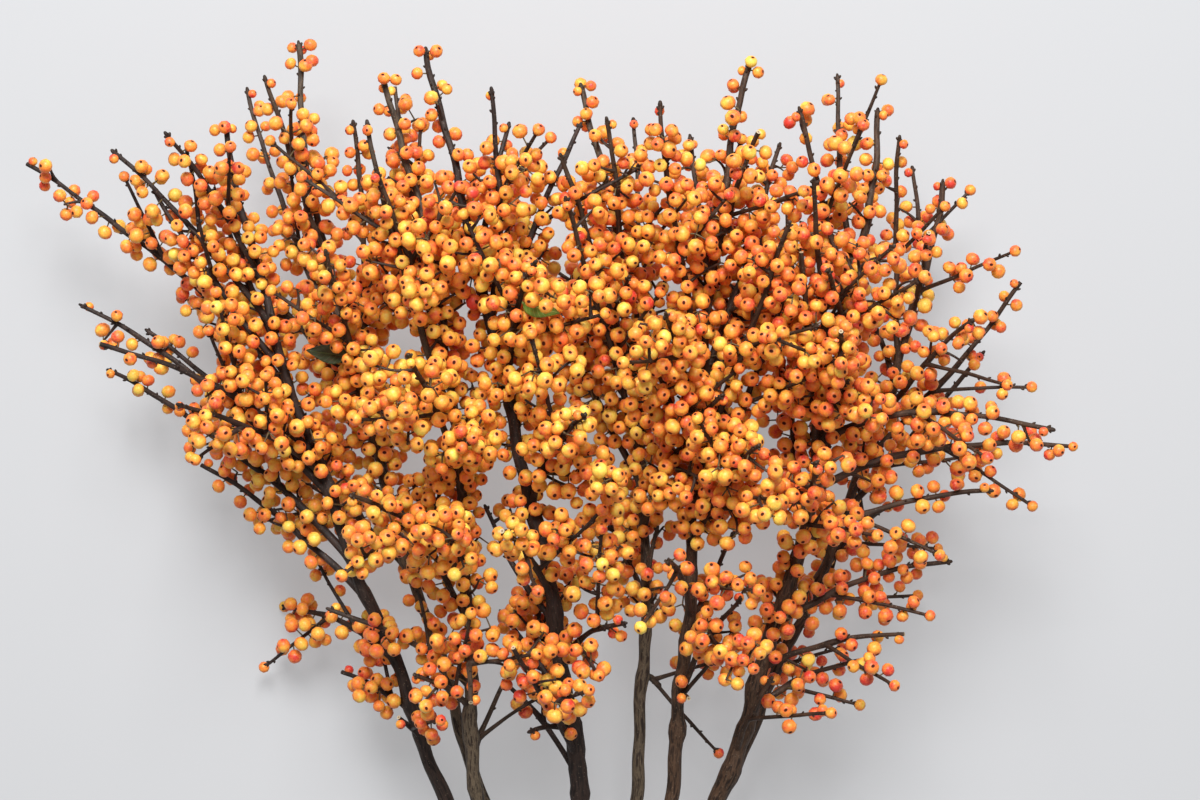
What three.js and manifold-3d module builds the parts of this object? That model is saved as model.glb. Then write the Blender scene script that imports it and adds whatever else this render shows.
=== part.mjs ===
// A bunch of eight cut winterberry branches, lying on its side.
// Millimetres, +Z up. The tips point along +Y and the cut ends along -Y.
// The lowest berries and stems lie on Z = 0.
import * as THREE from "three";
import { mergeVertices } from "three/addons/utils/BufferGeometryUtils.js";
import Module from "manifold-3d";

const BERRY_RADIUS = 4.7; // of a full berry; the ones towards a tip are smaller
const SMALL_BERRY = 0.72; // share of the full radius that the last berry on a tip keeps
const BERRY_SINK = 1.4; // how deep a berry's foot reaches into the wood
const BERRY_PITCH = 92; // run of shoot for each berry
const GOLDEN_TURN = 2.399963; // angle from one berry or twig to the next, in radians
const BARE_SHOOT = 0.16; // share of a shoot, from its root, without berries
const BARE_LEADER = 0.66; // share of a stem without berries of its own
const AIR = 0.35; // least gap between two branches
const FLAT = 0.35; // depth that the surface takes off what lies on it
const FOOT_TIP_Z = 6.5; // height of a shoot's tip that lies on the surface with a berry under it
const SLIVER = 0.06; // edges where pieces meet that are shorter than this are closed up
const THIN_WOOD_FACTOR = 1.15; // how much wider a solid of few sides is across its corners than round wood

const STEM_SIDES = 8;
const SHOOT_SIDES = 4;
const TWIG_SIDES = 3;
const STEM_STEPS = 8;
const SHOOT_STEPS = 3;
const TWIG_STEPS = 1;
const STEM_TIP_RADIUS = 1.9;
const SHOOT_TIP_RADIUS = 1.4;
const TWIG_RADIUS = [1.5, 1.1]; // at the root and at the tip
const TWIG_LENGTH = [46, 78];
const TWIG_ANGLE = 0.8; // between a twig and its shoot, in radians
const SAMPLE = 3.5; // spacing of the points that stand for a piece of wood when others keep clear of it
const ROOT_ZONE = 16; // length from its root over which a shoot may touch its own branch
const BEND_STEP = 7; // each further bend that is tried swings this much wider, as the root of its number
const BEND_TRIES = 36;
const BEND_AT_TIP = 0.5; // share of the bend that the tip follows
const TANGENT_STEP = 0.01; // share of a curve over which its direction is taken
const LAST_TANGENT = 0.99; // share of a curve up to which it is taken
const SHOOT_START = 0.55; // how far a shoot first follows its stem, against heading for its tip
const SHOOT_KNEE = 0.45; // where along its reach it has turned to its tip
const SHOOT_ROOT_RADIUS = { base: 1.7, perReach: 0.006, mostOfStem: 0.8 };
const TWIG_ZONE = { from: 0.3, run: 0.5, jitter: 0.6, turn: 1.2 }; // where the twigs spring from a shoot
const BERRY_TRIES = 8;
const BERRY_SHIFT = 0.8; // angle between two places that are tried for a berry
const BERRY_SPREAD = [0.94, 0.1]; // least share of its size that a berry has, and the draw on top
const TIP_BERRY_OVERLAP = 0.45; // share of its radius by which a twig's last berry sits past the twig's end
const TIP_MARGIN = 3; // from the end of a shoot to its last berry
const FIRST_TURNS = 6; // range of the angle at which a row of berries starts, in radians
const TWIG_FRUIT = { tipSize: 0.6, at: 0.5, size: 0.4, share: 3, of: 4 }; // 3 of 4 carry a second berry
const SEEDS = { twigs: 1000, shootBerries: 5000, twigBerries: 9000 };

// Each branch: the radius of its butt, the four control points of its stem, and its shoots.
// A shoot is [share of the stem that it springs from, x, y and z of its tip, number of its twigs].
const BRANCHES = [
  {
    butt: 6.5,
    stem: [[-38.2, -310, 5.5], [-40, -80, 60], [-185, 140, 150], [-226, 389, 110]],
    shoots: [
      [0.42, -112, -1, 110, 1], [0.45, -156, 24, 60, 1], [0.5, -202, 63, 6.5, 2], [0.56, -250, 164, 70, 1],
      [0.6, -317, 228, 46, 1], [0.66, -319, 270, 120, 1], [0.7, -297, 244, 170, 1], [0.68, -242, 205, 200, 2],
      [0.76, -368, 367, 70, 1], [0.82, -294, 371, 130, 1], [0.86, -254, 376, 170, 1],
    ],
  },
  {
    butt: 5.5,
    stem: [[-26.5, -315, 4.6], [-20, -60, 40], [-165, 160, 110], [-183, 445, 90]],
    shoots: [
      [0.55, -190, 150, 6.5, 2], [0.62, -150, 300, 200, 2], [0.68, -230, 300, 6.5, 2], [0.7, -148, 386, 140, 2],
      [0.76, -211, 424, 60, 1], [0.82, -196, 419, 120, 1],
    ],
  },
  {
    butt: 6,
    stem: [[-23.5, -312, 16.1], [-100, -40, 110], [-30, 170, 170], [-120, 412, 150]],
    shoots: [
      [0.44, -156, 72, 130, 1], [0.47, -60, 20, 195, 1], [0.54, -130, 150, 232, 2], [0.62, -95, 235, 246, 2],
      [0.68, -118, 383, 190, 2], [0.74, -114, 350, 222, 1], [0.8, -113, 418, 110, 1], [0.42, -98, 32, 150, 1],
      [0.5, -98, 160, 120, 1],
    ],
  },
  {
    butt: 7.5,
    stem: [[-14.1, -312, 5.9], [50, -60, 120], [-40, 190, 190], [-91, 432, 150]],
    shoots: [
      [0.4, -26, -5, 150, 1], [0.46, 34, 70, 200, 2], [0.52, -40, 130, 246, 2], [0.6, 10, 200, 250, 2],
      [0.7, -20, 290, 244, 2], [0.76, -57, 401, 190, 1], [0.8, -40, 388, 130, 1], [0.38, -34, 62, 200, 1],
    ],
  },
  {
    butt: 5.5,
    stem: [[-1, -310, 4.6], [60, -70, 70], [70, 170, 110], [8, 416, 100]],
    shoots: [
      [0.46, 60, 15, 60, 2], [0.52, 20, 130, 6.5, 2], [0.6, 95, 210, 200, 2], [0.64, -39, 371, 80, 2],
      [0.7, 20, 300, 30, 2], [0.74, 38, 401, 60, 1], [0.8, 19, 388, 150, 1], [0.66, 0, 335, 190, 1],
    ],
  },
  {
    butt: 6,
    stem: [[3.6, -310, 16.2], [110, -40, 100], [55, 180, 160], [116, 423, 140]],
    shoots: [
      [0.42, 78, 13, 130, 1], [0.5, 60, 110, 236, 2], [0.56, 115, 180, 250, 2], [0.64, 60, 260, 240, 2],
      [0.72, 64, 395, 180, 1], [0.78, 78, 383, 100, 1], [0.82, 118, 374, 205, 1], [0.42, 106, 84, 190, 1],
      [0.6, 128, 290, 180, 1],
    ],
  },
  {
    butt: 8,
    stem: [[23.3, -312, 6.4], [90, -60, 110], [180, 150, 170], [201, 397, 120]],
    shoots: [
      [0.44, 194, 34, 90, 1], [0.48, 215, 57, 150, 1], [0.52, 250, 101, 100, 1], [0.57, 150, 170, 246, 2],
      [0.6, 270, 149, 150, 1], [0.65, 333, 176, 110, 1], [0.7, 301, 190, 190, 1], [0.7, 165, 250, 246, 2],
      [0.76, 159, 287, 226, 1], [0.8, 148, 393, 160, 1], [0.84, 184, 424, 90, 1], [0.4, 134, 28, 130, 1],
      [0.62, 140, 262, 110, 1],
    ],
  },
  {
    butt: 5.5,
    stem: [[10.4, -308, 4.6], [90, -50, 40], [210, 120, 70], [250, 354, 80]],
    shoots: [
      [0.46, 150, 40, 6.5, 2], [0.54, 189, 85, 6.5, 2], [0.6, 222, 133, 6.5, 2], [0.66, 274, 244, 60, 1],
      [0.72, 293, 292, 90, 1], [0.76, 259, 258, 140, 1], [0.8, 160, 330, 20, 1], [0.82, 224, 380, 110, 1],
      [0.86, 231, 315, 150, 1], [0.88, 235, 367, 40, 1],
    ],
  },
];

// Each leaf: its branch and shoot, the share of the shoot's length, and which way it turns.
const LEAVES = [
  { branch: 3, shoot: 4, at: 0.7, turn: 0.4 },
  { branch: 1, shoot: 1, at: 0.6, turn: 2.9 },
];
const LEAF = { length: 27, width: 13, thickness: 0.8, fold: 1.6, droop: 3, steps: 6, clearance: 6 };
const LEAF_OUTLINE = { foot: 0.12, widest: 0.8, roundness: 0.9 }; // share at the foot, and two powers
const LEAF_LEAN = { out: 0.85, along: 0.5, turn: 0.35 }; // off and along its shoot, and the next try's turn
const LEAF_CLEAR_SHARES = [0.4, 0.52, 0.64, 0.76, 0.88, 1]; // where along a leaf it is kept clear
const LEAF_GAP = 0.9; // between a leaf's foot and the wood

const BARK_COLOR = new THREE.Color(0x4a3b35);
const BERRY_COLORS = [0xf0b54a, 0xf0a045, 0xee8a3c, 0xe8743a].map((hex) => new THREE.Color(hex));
const branchMaterial = new THREE.MeshStandardMaterial({ vertexColors: true, roughness: 0.4, metalness: 0 });
const leafMaterial = new THREE.MeshStandardMaterial({ color: 0x6f8f35, roughness: 0.5, metalness: 0 });

const wasm = await Module();
wasm.setup();

// A seeded stream of numbers from 0 to 1.
function drawsFrom(seed) {
  let state = seed >>> 0;
  return () => {
    state = (state + 0x6d2b79f5) >>> 0;
    let mixed = Math.imul(state ^ (state >>> 15), 1 | state);
    mixed = (mixed + Math.imul(mixed ^ (mixed >>> 7), 61 | mixed)) ^ mixed;
    return ((mixed ^ (mixed >>> 14)) >>> 0) / 4294967296;
  };
}

// A point on the Bezier curve of any number of control points.
function bezier(controls, t) {
  let points = controls.map((c) => c.clone());
  while (points.length > 1) {
    points = points.slice(1).map((p, i) => points[i].clone().lerp(p, t));
  }
  return points[0];
}

function directionAt(controls, t) {
  return bezier(controls, t + TANGENT_STEP).sub(bezier(controls, t - TANGENT_STEP)).normalize();
}

// Two unit vectors square to a direction and to each other.
function squareTo(direction) {
  const reference = Math.abs(direction.z) > 0.9 ? new THREE.Vector3(1, 0, 0) : new THREE.Vector3(0, 0, 1);
  const side = new THREE.Vector3().crossVectors(direction, reference).normalize();
  const up = new THREE.Vector3().crossVectors(side, direction);
  return [side, up];
}

function radialAt(direction, angle) {
  const [side, up] = squareTo(direction);
  return side.multiplyScalar(Math.cos(angle)).addScaledVector(up, Math.sin(angle));
}

// A length of wood: its branch, its curve, its radii at both ends and what its solid is made of.
class Wood {
  constructor(branch, controls, radii, sides, steps) {
    this.branch = branch;
    this.controls = controls;
    this.radii = radii;
    this.sides = sides;
    this.steps = steps;
    const middle = bezier(controls, 0.5);
    this.length = middle.distanceTo(controls[0]) + middle.distanceTo(controls.at(-1));
  }

  radiusAt(t) {
    return this.radii[0] + (this.radii[1] - this.radii[0]) * t;
  }

  // A point on the straight runs between the steps of the curve.
  pointAt(t) {
    const step = Math.min(Math.floor(t * this.steps), this.steps - 1);
    const start = bezier(this.controls, step / this.steps);
    return start.lerp(bezier(this.controls, (step + 1) / this.steps), t * this.steps - step);
  }

  samples() {
    const count = Math.ceil(this.length / SAMPLE);
    return Array.from({ length: count + 1 }, (_, i) => {
      const t = i / count;
      const [point, radius, run] = [this.pointAt(t), this.radiusAt(t), t * this.length];
      return { wood: this, branch: this.branch, point, radius, run };
    });
  }
}

// Whether a length of wood keeps off all the wood placed before it.
// Its own branch counts too, past the zone round its root.
function isClear(wood, placed) {
  return wood.samples().every(({ point, radius, run }) => {
    if (point.z < radius - FLAT) return false;
    return placed.every((other) => {
      if (other.branch === wood.branch && run < ROOT_ZONE) return true;
      const between = radius + other.radius + AIR;
      return point.distanceToSquared(other.point) > between * between + (SAMPLE * SAMPLE) / 2;
    });
  });
}

// The first of several bends of a shoot that keeps it clear, or nothing.
function bentClear(branch, root, middle, tip, radii, sides, steps, placed) {
  const chord = tip.clone().sub(root).normalize();
  for (let attempt = 0; attempt < BEND_TRIES; attempt += 1) {
    const reach = BEND_STEP * Math.sqrt(attempt);
    const bend = radialAt(chord, attempt * GOLDEN_TURN).multiplyScalar(reach);
    const bentTip = tip.clone().addScaledVector(bend, BEND_AT_TIP);
    const wood = new Wood(branch, [root, middle.clone().add(bend), bentTip], radii, sides, steps);
    if (isClear(wood, placed)) return wood;
  }
  return null;
}

function growStems() {
  return BRANCHES.map(({ butt, stem }, branch) => {
    const controls = stem.map((p) => new THREE.Vector3(...p));
    return new Wood(branch, controls, [butt, STEM_TIP_RADIUS], STEM_SIDES, STEM_STEPS);
  });
}

function growShoot(branch, stem, [at, x, y, z], placed) {
  const root = stem.pointAt(at);
  const tip = new THREE.Vector3(x, y, z);
  const reach = tip.distanceTo(root);
  const start = directionAt(stem.controls, at).multiplyScalar(SHOOT_START);
  const heading = start.addScaledVector(tip.clone().sub(root), 1 / reach).normalize();
  const middle = root.clone().addScaledVector(heading, reach * SHOOT_KNEE);
  const { base, perReach, mostOfStem } = SHOOT_ROOT_RADIUS;
  const radii = [Math.min(base + reach * perReach, stem.radiusAt(at) * mostOfStem), SHOOT_TIP_RADIUS];
  return bentClear(branch, root, middle, tip, radii, SHOOT_SIDES, SHOOT_STEPS, placed);
}

function growTwig(shoot, index, count, draw, placed) {
  const at = TWIG_ZONE.from + (TWIG_ZONE.run * (index + draw() * TWIG_ZONE.jitter)) / count;
  const direction = directionAt(shoot.controls, at);
  const out = radialAt(direction, index * GOLDEN_TURN + draw() * TWIG_ZONE.turn);
  const length = TWIG_LENGTH[0] + (TWIG_LENGTH[1] - TWIG_LENGTH[0]) * draw();
  const root = shoot.pointAt(at);
  const heading = direction.multiplyScalar(Math.cos(TWIG_ANGLE)).addScaledVector(out, Math.sin(TWIG_ANGLE));
  const tip = root.clone().addScaledVector(heading, length);
  const middle = root.clone().lerp(tip, 0.5);
  return bentClear(shoot.branch, root, middle, tip, TWIG_RADIUS, TWIG_SIDES, TWIG_STEPS, placed);
}

// All the wood, each piece clear of those before it.
function growWood() {
  const stems = growStems();
  const placed = stems.flatMap((stem) => stem.samples());
  const shoots = [];
  const keep = (wood, list) => {
    if (!wood) return;
    list.push(wood);
    placed.push(...wood.samples());
  };
  BRANCHES.forEach(({ shoots: rows }, branch) => {
    rows.forEach((row) => keep(growShoot(branch, stems[branch], row, placed), shoots));
  });
  const twigs = [];
  const twigCounts = BRANCHES.flatMap(({ shoots: rows }) => rows.map((row) => row[4]));
  shoots.forEach((shoot, number) => {
    const draw = drawsFrom(SEEDS.twigs + number);
    for (let i = 0; i < twigCounts[number]; i += 1) {
      keep(growTwig(shoot, i, twigCounts[number], draw, placed), twigs);
    }
  });
  return { stems, shoots, twigs, placed };
}

function shootIndex({ branch, shoot }) {
  return BRANCHES.slice(0, branch).reduce((sum, { shoots }) => sum + shoots.length, shoot);
}

// A leaf's foot, the way it points and the way its blade spans, turned until it is clear of all the wood.
function growLeaf(row, shoots, placed) {
  const host = shoots[shootIndex(row)];
  const direction = directionAt(host.controls, row.at);
  for (let attempt = 0; attempt < BEND_TRIES; attempt += 1) {
    const out = radialAt(direction, row.turn + attempt * LEAF_LEAN.turn);
    const along = out.clone().multiplyScalar(LEAF_LEAN.out).addScaledVector(direction, LEAF_LEAN.along);
    along.normalize();
    const offWood = host.radiusAt(row.at) * THIN_WOOD_FACTOR + LEAF_GAP;
    const foot = host.pointAt(row.at).addScaledVector(out, offWood);
    const span = new THREE.Vector3().crossVectors(along, new THREE.Vector3(0, 0, 1)).normalize();
    const blade = LEAF_CLEAR_SHARES.map((share) => {
      return { point: foot.clone().addScaledVector(along, LEAF.length * share), radius: LEAF.clearance };
    });
    const clear = blade.every(({ point, radius }) => {
      return placed.every((other) => point.distanceTo(other.point) > radius + other.radius + AIR);
    });
    if (clear) return { foot, along, span, blade };
  }
  return null;
}

// A berry's place: its centre, its radius and the direction from its foot outwards.
function berryOn(wood, t, angle, radius) {
  const direction = directionAt(wood.controls, Math.min(t, LAST_TANGENT));
  const out = radialAt(direction, angle);
  const centre = wood.pointAt(t).addScaledVector(out, wood.radiusAt(t) + radius - BERRY_SINK);
  return { branch: wood.branch, host: wood, centre, radius, out };
}

function berryHasRoom(berry, placed, berries) {
  if (berry.centre.z < berry.radius - FLAT - 1e-6) return false;
  const offWood = placed.every((other) => {
    if (other.wood === berry.host) return true;
    return berry.centre.distanceTo(other.point) > berry.radius + other.radius + AIR + SAMPLE / 5;
  });
  return offWood && berries.every((other) => {
    return berry.centre.distanceTo(other.centre) > berry.radius + other.radius + AIR;
  });
}

// Puts a berry at a share of a length of wood, at the first angle where it has room.
function tryBerry(wood, t, angle, radius, placed, berries) {
  for (let turn = 0; turn < BERRY_TRIES; turn += 1) {
    const berry = berryOn(wood, t, angle + turn * BERRY_SHIFT, radius);
    if (berryHasRoom(berry, placed, berries)) {
      berries.push(berry);
      return;
    }
  }
}

function radiusTowardsTip(t, draw) {
  return BERRY_RADIUS * (1 - (1 - SMALL_BERRY) * t * t) * (BERRY_SPREAD[0] + BERRY_SPREAD[1] * draw());
}

// The berry that lies on the surface under the tip of a low shoot.
function footBerry(shoot, radius) {
  const centre = shoot.controls.at(-1).clone().setZ(radius - FLAT);
  return { branch: shoot.branch, host: shoot, centre, radius, out: new THREE.Vector3(0, 0, -1) };
}

// The berry in which a twig ends.
function tipBerry(twig, draw, placed, berries) {
  const out = directionAt(twig.controls, LAST_TANGENT);
  const radius = radiusTowardsTip(TWIG_FRUIT.tipSize, draw);
  const centre = twig.controls.at(-1).clone().addScaledVector(out, radius * TIP_BERRY_OVERLAP);
  const berry = { branch: twig.branch, host: twig, centre, radius, out };
  if (berryHasRoom(berry, placed, berries)) berries.push(berry);
}

function growBerries({ stems, shoots, twigs, placed }) {
  const berries = [];
  const rows = [...stems.map((wood) => [wood, BARE_LEADER]), ...shoots.map((wood) => [wood, BARE_SHOOT])];
  rows.forEach(([wood, bare], number) => {
    const draw = drawsFrom(SEEDS.shootBerries + number);
    const step = BERRY_PITCH / wood.length;
    let t = 1 - TIP_MARGIN / wood.length;
    if (wood.controls.at(-1).z < FOOT_TIP_Z + 1) {
      berries.push(footBerry(wood, radiusTowardsTip(TWIG_FRUIT.tipSize, draw)));
      t -= step;
    }
    for (let turn = draw() * FIRST_TURNS; t > bare; t -= step, turn += GOLDEN_TURN) {
      tryBerry(wood, t, turn, radiusTowardsTip(t, draw), placed, berries);
    }
  });
  twigs.forEach((twig, number) => {
    const draw = drawsFrom(SEEDS.twigBerries + number);
    tipBerry(twig, draw, placed, berries);
    if (number % TWIG_FRUIT.of < TWIG_FRUIT.share) {
      const angle = draw() * FIRST_TURNS;
      tryBerry(twig, TWIG_FRUIT.at, angle, radiusTowardsTip(TWIG_FRUIT.size, draw), placed, berries);
    }
  });
  return berries;
}

// A thin blade with its two halves folded up a little from the midrib.
// It is widest before the middle and droops to its tip.
function leafGeometry({ foot, along, span }) {
  const up = new THREE.Vector3().crossVectors(span, along);
  const positions = [];
  for (let i = 0; i <= LEAF.steps; i += 1) {
    const t = i / LEAF.steps;
    const { foot: footShare, widest, roundness } = LEAF_OUTLINE;
    const bulge = Math.sin(Math.PI * t ** widest) ** roundness;
    const half = (LEAF.width / 2) * (footShare + (1 - footShare) * bulge);
    const rib = foot.clone().addScaledVector(along, LEAF.length * t);
    rib.addScaledVector(up, -LEAF.droop * t * t);
    [LEAF.thickness, 0].forEach((height) => {
      [-1, 0, 1].forEach((edge) => {
        const lift = height + Math.abs(edge) * LEAF.fold * (half / (LEAF.width / 2));
        const corner = rib.clone().addScaledVector(span, half * edge).addScaledVector(up, lift);
        positions.push(...corner.toArray());
      });
    });
  }
  // Six corners a section, in the order in which they go round it.
  const ring = [0, 1, 2, 5, 4, 3];
  const index = [];
  for (let i = 0; i < LEAF.steps; i += 1) {
    ring.forEach((corner, j) => {
      const [a, b] = [i * 6 + corner, i * 6 + ring[(j + 1) % 6]];
      index.push(a, b, b + 6, a, b + 6, a + 6);
    });
  }
  const last = LEAF.steps * 6;
  index.push(0, 3, 1, 3, 4, 1, 1, 4, 2, 4, 5, 2);
  index.push(last, last + 1, last + 3, last + 3, last + 1, last + 4);
  index.push(last + 1, last + 2, last + 4, last + 4, last + 2, last + 5);
  const geometry = new THREE.BufferGeometry();
  geometry.setAttribute("position", new THREE.Float32BufferAttribute(positions, 3));
  geometry.setIndex(index);
  return geometry;
}

function solidFrom(geometry) {
  geometry.deleteAttribute("normal");
  geometry.deleteAttribute("uv");
  const merged = mergeVertices(geometry, 1e-4);
  const vertProperties = merged.attributes.position.array;
  const triVerts = new Uint32Array(merged.index.array);
  return new wasm.Manifold(new wasm.Mesh({ numProp: 3, vertProperties, triVerts }));
}

// A tapered tube along the wood's curve, closed at both ends.
function woodSolid(wood) {
  const { sides, steps } = wood;
  const positions = [];
  let side = null;
  for (let i = 0; i <= steps; i += 1) {
    const t = i / steps;
    const direction = directionAt(wood.controls, t);
    if (side) side.addScaledVector(direction, -side.dot(direction)).normalize();
    else [side] = squareTo(direction);
    const up = new THREE.Vector3().crossVectors(side, direction);
    for (let j = 0; j < sides; j += 1) {
      const angle = ((j + 0.5) / sides) * 2 * Math.PI;
      const radius = wood.radiusAt(t) * (sides < STEM_SIDES ? THIN_WOOD_FACTOR : 1);
      const corner = bezier(wood.controls, t).addScaledVector(side, radius * Math.cos(angle));
      positions.push(...corner.addScaledVector(up, radius * Math.sin(angle)).toArray());
    }
  }
  const index = [];
  for (let i = 0; i < steps; i += 1) {
    for (let j = 0; j < sides; j += 1) {
      const [a, b] = [i * sides + j, i * sides + ((j + 1) % sides)];
      index.push(a, b + sides, b, a, a + sides, b + sides);
    }
  }
  const last = steps * sides;
  for (let j = 1; j < sides - 1; j += 1) index.push(0, j, j + 1, last, last + j + 1, last + j);
  const geometry = new THREE.BufferGeometry();
  geometry.setAttribute("position", new THREE.Float32BufferAttribute(positions, 3));
  geometry.setIndex(index);
  return solidFrom(geometry);
}

function berrySolid({ centre, radius, out }) {
  const apex = new THREE.Vector3(0, 1, (1 + Math.sqrt(5)) / 2).normalize();
  const geometry = new THREE.IcosahedronGeometry(radius, 0);
  geometry.applyQuaternion(new THREE.Quaternion().setFromUnitVectors(apex, out.clone().negate()));
  geometry.translate(centre.x, centre.y, centre.z);
  return solidFrom(geometry);
}

// The solid as a mesh's geometry, with the faces of the berries and of the bark in their own colours.
function paintedGeometry(solid, branchBerries) {
  const { vertProperties, triVerts } = solid.getMesh();
  const indexed = new THREE.BufferGeometry();
  indexed.setAttribute("position", new THREE.BufferAttribute(vertProperties, 3));
  indexed.setIndex(new THREE.BufferAttribute(triVerts, 1));
  const geometry = indexed.toNonIndexed();
  const position = geometry.getAttribute("position");
  const colors = [];
  for (let i = 0; i < position.count; i += 3) {
    const corners = [0, 1, 2].map((j) => new THREE.Vector3().fromBufferAttribute(position, i + j));
    const middle = corners[0].add(corners[1]).add(corners[2]).divideScalar(3);
    const berry = branchBerries.find(({ centre, radius }) => middle.distanceTo(centre) < radius);
    const color = berry ? BERRY_COLORS[branchBerries.indexOf(berry) % BERRY_COLORS.length] : BARK_COLOR;
    for (let j = 0; j < 3; j += 1) colors.push(color.r, color.g, color.b);
  }
  geometry.setAttribute("color", new THREE.Float32BufferAttribute(colors, 3));
  geometry.computeVertexNormals();
  return geometry;
}

// One branch: its stem, shoots and twigs with their berries in one solid, cut flat where it lies.
function branchMesh(branch, { stems, shoots, twigs }, berries) {
  const grown = [stems[branch], ...shoots, ...twigs].filter((piece) => piece.branch === branch);
  const branchBerries = berries.filter((berry) => berry.branch === branch);
  const pieces = [...grown.map(woodSolid), ...branchBerries.map(berrySolid)];
  const solid = wasm.Manifold.union(pieces).trimByPlane([0, 0, 1], 0).asOriginal().simplify(SLIVER);
  const mesh = new THREE.Mesh(paintedGeometry(solid, branchBerries), branchMaterial);
  mesh.name = `branch_${branch + 1}`;
  return mesh;
}

const wood = growWood();
const leaves = LEAVES.map((row) => growLeaf(row, wood.shoots, wood.placed));
leaves.forEach((leaf) => wood.placed.push(...leaf.blade));
const berries = growBerries(wood);

const group = new THREE.Group();
BRANCHES.forEach((_, branch) => group.add(branchMesh(branch, wood, berries)));
leaves.forEach((leaf, i) => {
  const mesh = new THREE.Mesh(leafGeometry(leaf), leafMaterial);
  mesh.name = `leaf_${i + 1}`;
  group.add(mesh);
});

// The origin is under the middle of the bunch, on the surface that it lies on.
const middle = new THREE.Box3().setFromObject(group, true).getCenter(new THREE.Vector3());
group.position.set(-middle.x, -middle.y, 0);

export default group;
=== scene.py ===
"""A bunch of eight cut winterberry branches, lying on its side and seen from above.

The wood and the first few hundred berries grow by the same rule as in the CAD source. The other berries,
their stalks, the spurs, the buds and the bark are added on and around them.
"""

import logging
import math
from collections.abc import Callable, Iterable, Mapping
from dataclasses import dataclass, field, replace
from enum import Enum
from functools import partial

import bpy
import numpy as np
from bpy.types import Material, Mesh, Node, NodeSocket, NodeTree, Object
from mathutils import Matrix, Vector


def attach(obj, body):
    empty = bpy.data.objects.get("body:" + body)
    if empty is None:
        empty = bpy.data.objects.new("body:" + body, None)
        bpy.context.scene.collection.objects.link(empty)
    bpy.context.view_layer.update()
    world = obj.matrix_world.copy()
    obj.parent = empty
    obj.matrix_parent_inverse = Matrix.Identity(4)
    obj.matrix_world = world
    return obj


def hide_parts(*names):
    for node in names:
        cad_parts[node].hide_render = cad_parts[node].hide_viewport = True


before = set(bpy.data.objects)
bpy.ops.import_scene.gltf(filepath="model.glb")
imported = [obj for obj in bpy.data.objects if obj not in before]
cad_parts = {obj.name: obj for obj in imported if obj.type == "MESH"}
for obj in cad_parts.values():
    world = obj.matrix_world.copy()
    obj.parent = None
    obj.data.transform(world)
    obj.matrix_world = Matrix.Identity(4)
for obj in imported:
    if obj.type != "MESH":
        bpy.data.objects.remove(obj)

LOG = logging.getLogger("winterberry_bunch")
MM = 0.001
UP = np.array([0.0, 0.0, 1.0])
Array = np.ndarray
Stop = tuple[float, str]  # of a colour ramp: its place and its sRGB hex colour
Pair = tuple[float, float]
Triple = tuple[float, float, float]
Draw = Callable[[], float]  # a stream of numbers from 0 to 1
Adder = Callable[..., Node]  # add_node for one tree

# The numbers of the CAD source's growth, in millimetres, radians and shares of a length.
BERRY_RADIUS = 4.7  # of a full berry; the ones towards a tip are smaller
SMALL_BERRY = 0.72  # share of the full radius that the last berry on a tip keeps
BERRY_SINK = 1.4  # how deep a berry's foot reaches into the wood
BERRY_PITCH = 92  # run of shoot for each berry
GOLDEN_TURN = 2.399963  # angle from one berry or twig to the next
BARE_SHOOT = 0.16  # share of a shoot, from its root, without berries
BARE_LEADER = 0.66  # share of a stem without berries of its own
AIR = 0.35  # least gap between two branches
FLAT = 0.35  # depth that the surface takes off what lies on it
FOOT_TIP_Z = 6.5  # height of a shoot's tip that lies on the surface with a berry under it
THIN_WOOD_FACTOR = 1.15  # how much wider a solid of few sides is across its corners than round wood
STEM_STEPS = 8
SHOOT_STEPS = 3
TWIG_STEPS = 1
STEM_TIP_RADIUS = 1.9
SHOOT_TIP_RADIUS = 1.4
TWIG_RADIUS = (1.5, 1.1)  # at the root and at the tip
TWIG_LENGTH = (46, 78)
TWIG_ANGLE = 0.8  # between a twig and its shoot
SAMPLE = 3.5  # spacing of the points that stand for a piece of wood when others keep clear of it
NEAR = 40  # how far round a piece of wood others are looked for
ROOT_ZONE = 16  # length from its root over which a shoot may touch its own branch
BEND_STEP = 7  # each further bend that is tried swings this much wider, as the root of its number
BEND_TRIES = 36
BEND_AT_TIP = 0.5  # share of the bend that the tip follows
TANGENT_STEP = 0.01  # share of a curve over which its direction is taken
LAST_TANGENT = 0.99  # share of a curve up to which it is taken
SHOOT_START = 0.55  # how far a shoot first follows its stem, against heading for its tip
SHOOT_KNEE = 0.45  # where along its reach it has turned to its tip
SHOOT_ROOT = (1.7, 0.006)  # radius of a shoot's root, and what each millimetre of its reach adds
SHOOT_OF_STEM = 0.8  # the most that it has of the stem's radius
TWIG_FROM = 0.3  # share of a shoot below which no twig springs from it
TWIG_RUN = 0.5  # share over which its twigs are spread
TWIG_JITTER = 0.6  # how far each is off its even place
TWIG_TURN = 1.2
BERRY_TRIES = 8
BERRY_SHIFT = 0.8  # angle between two places that are tried for a berry
BERRY_SPREAD = (0.94, 0.1)  # least share of its size that a berry has, and the draw on top
TIP_BERRY_OVERLAP = 0.45  # share of its radius by which a twig's last berry sits past the twig's end
TIP_MARGIN = 3  # from the end of a shoot to its last berry
FIRST_TURNS = 6  # range of the angle at which a row of berries, spurs or buds starts
TWIG_TIP_SIZE = 0.6  # place along a shoot that the size of a twig's last berry goes by
TWIG_BERRY_AT = 0.5  # place of a twig's second berry
TWIG_BERRY_SIZE = 0.4  # place along a shoot that its size goes by
TWIG_BERRIES = (3, 4)  # how many twigs in how many carry a second berry
ROUNDING = 1e-6
LAYOUT_MIDDLE = np.array([-17.64035, 64.7068, 0.0])  # the point of the layout that the part's origin is under


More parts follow.
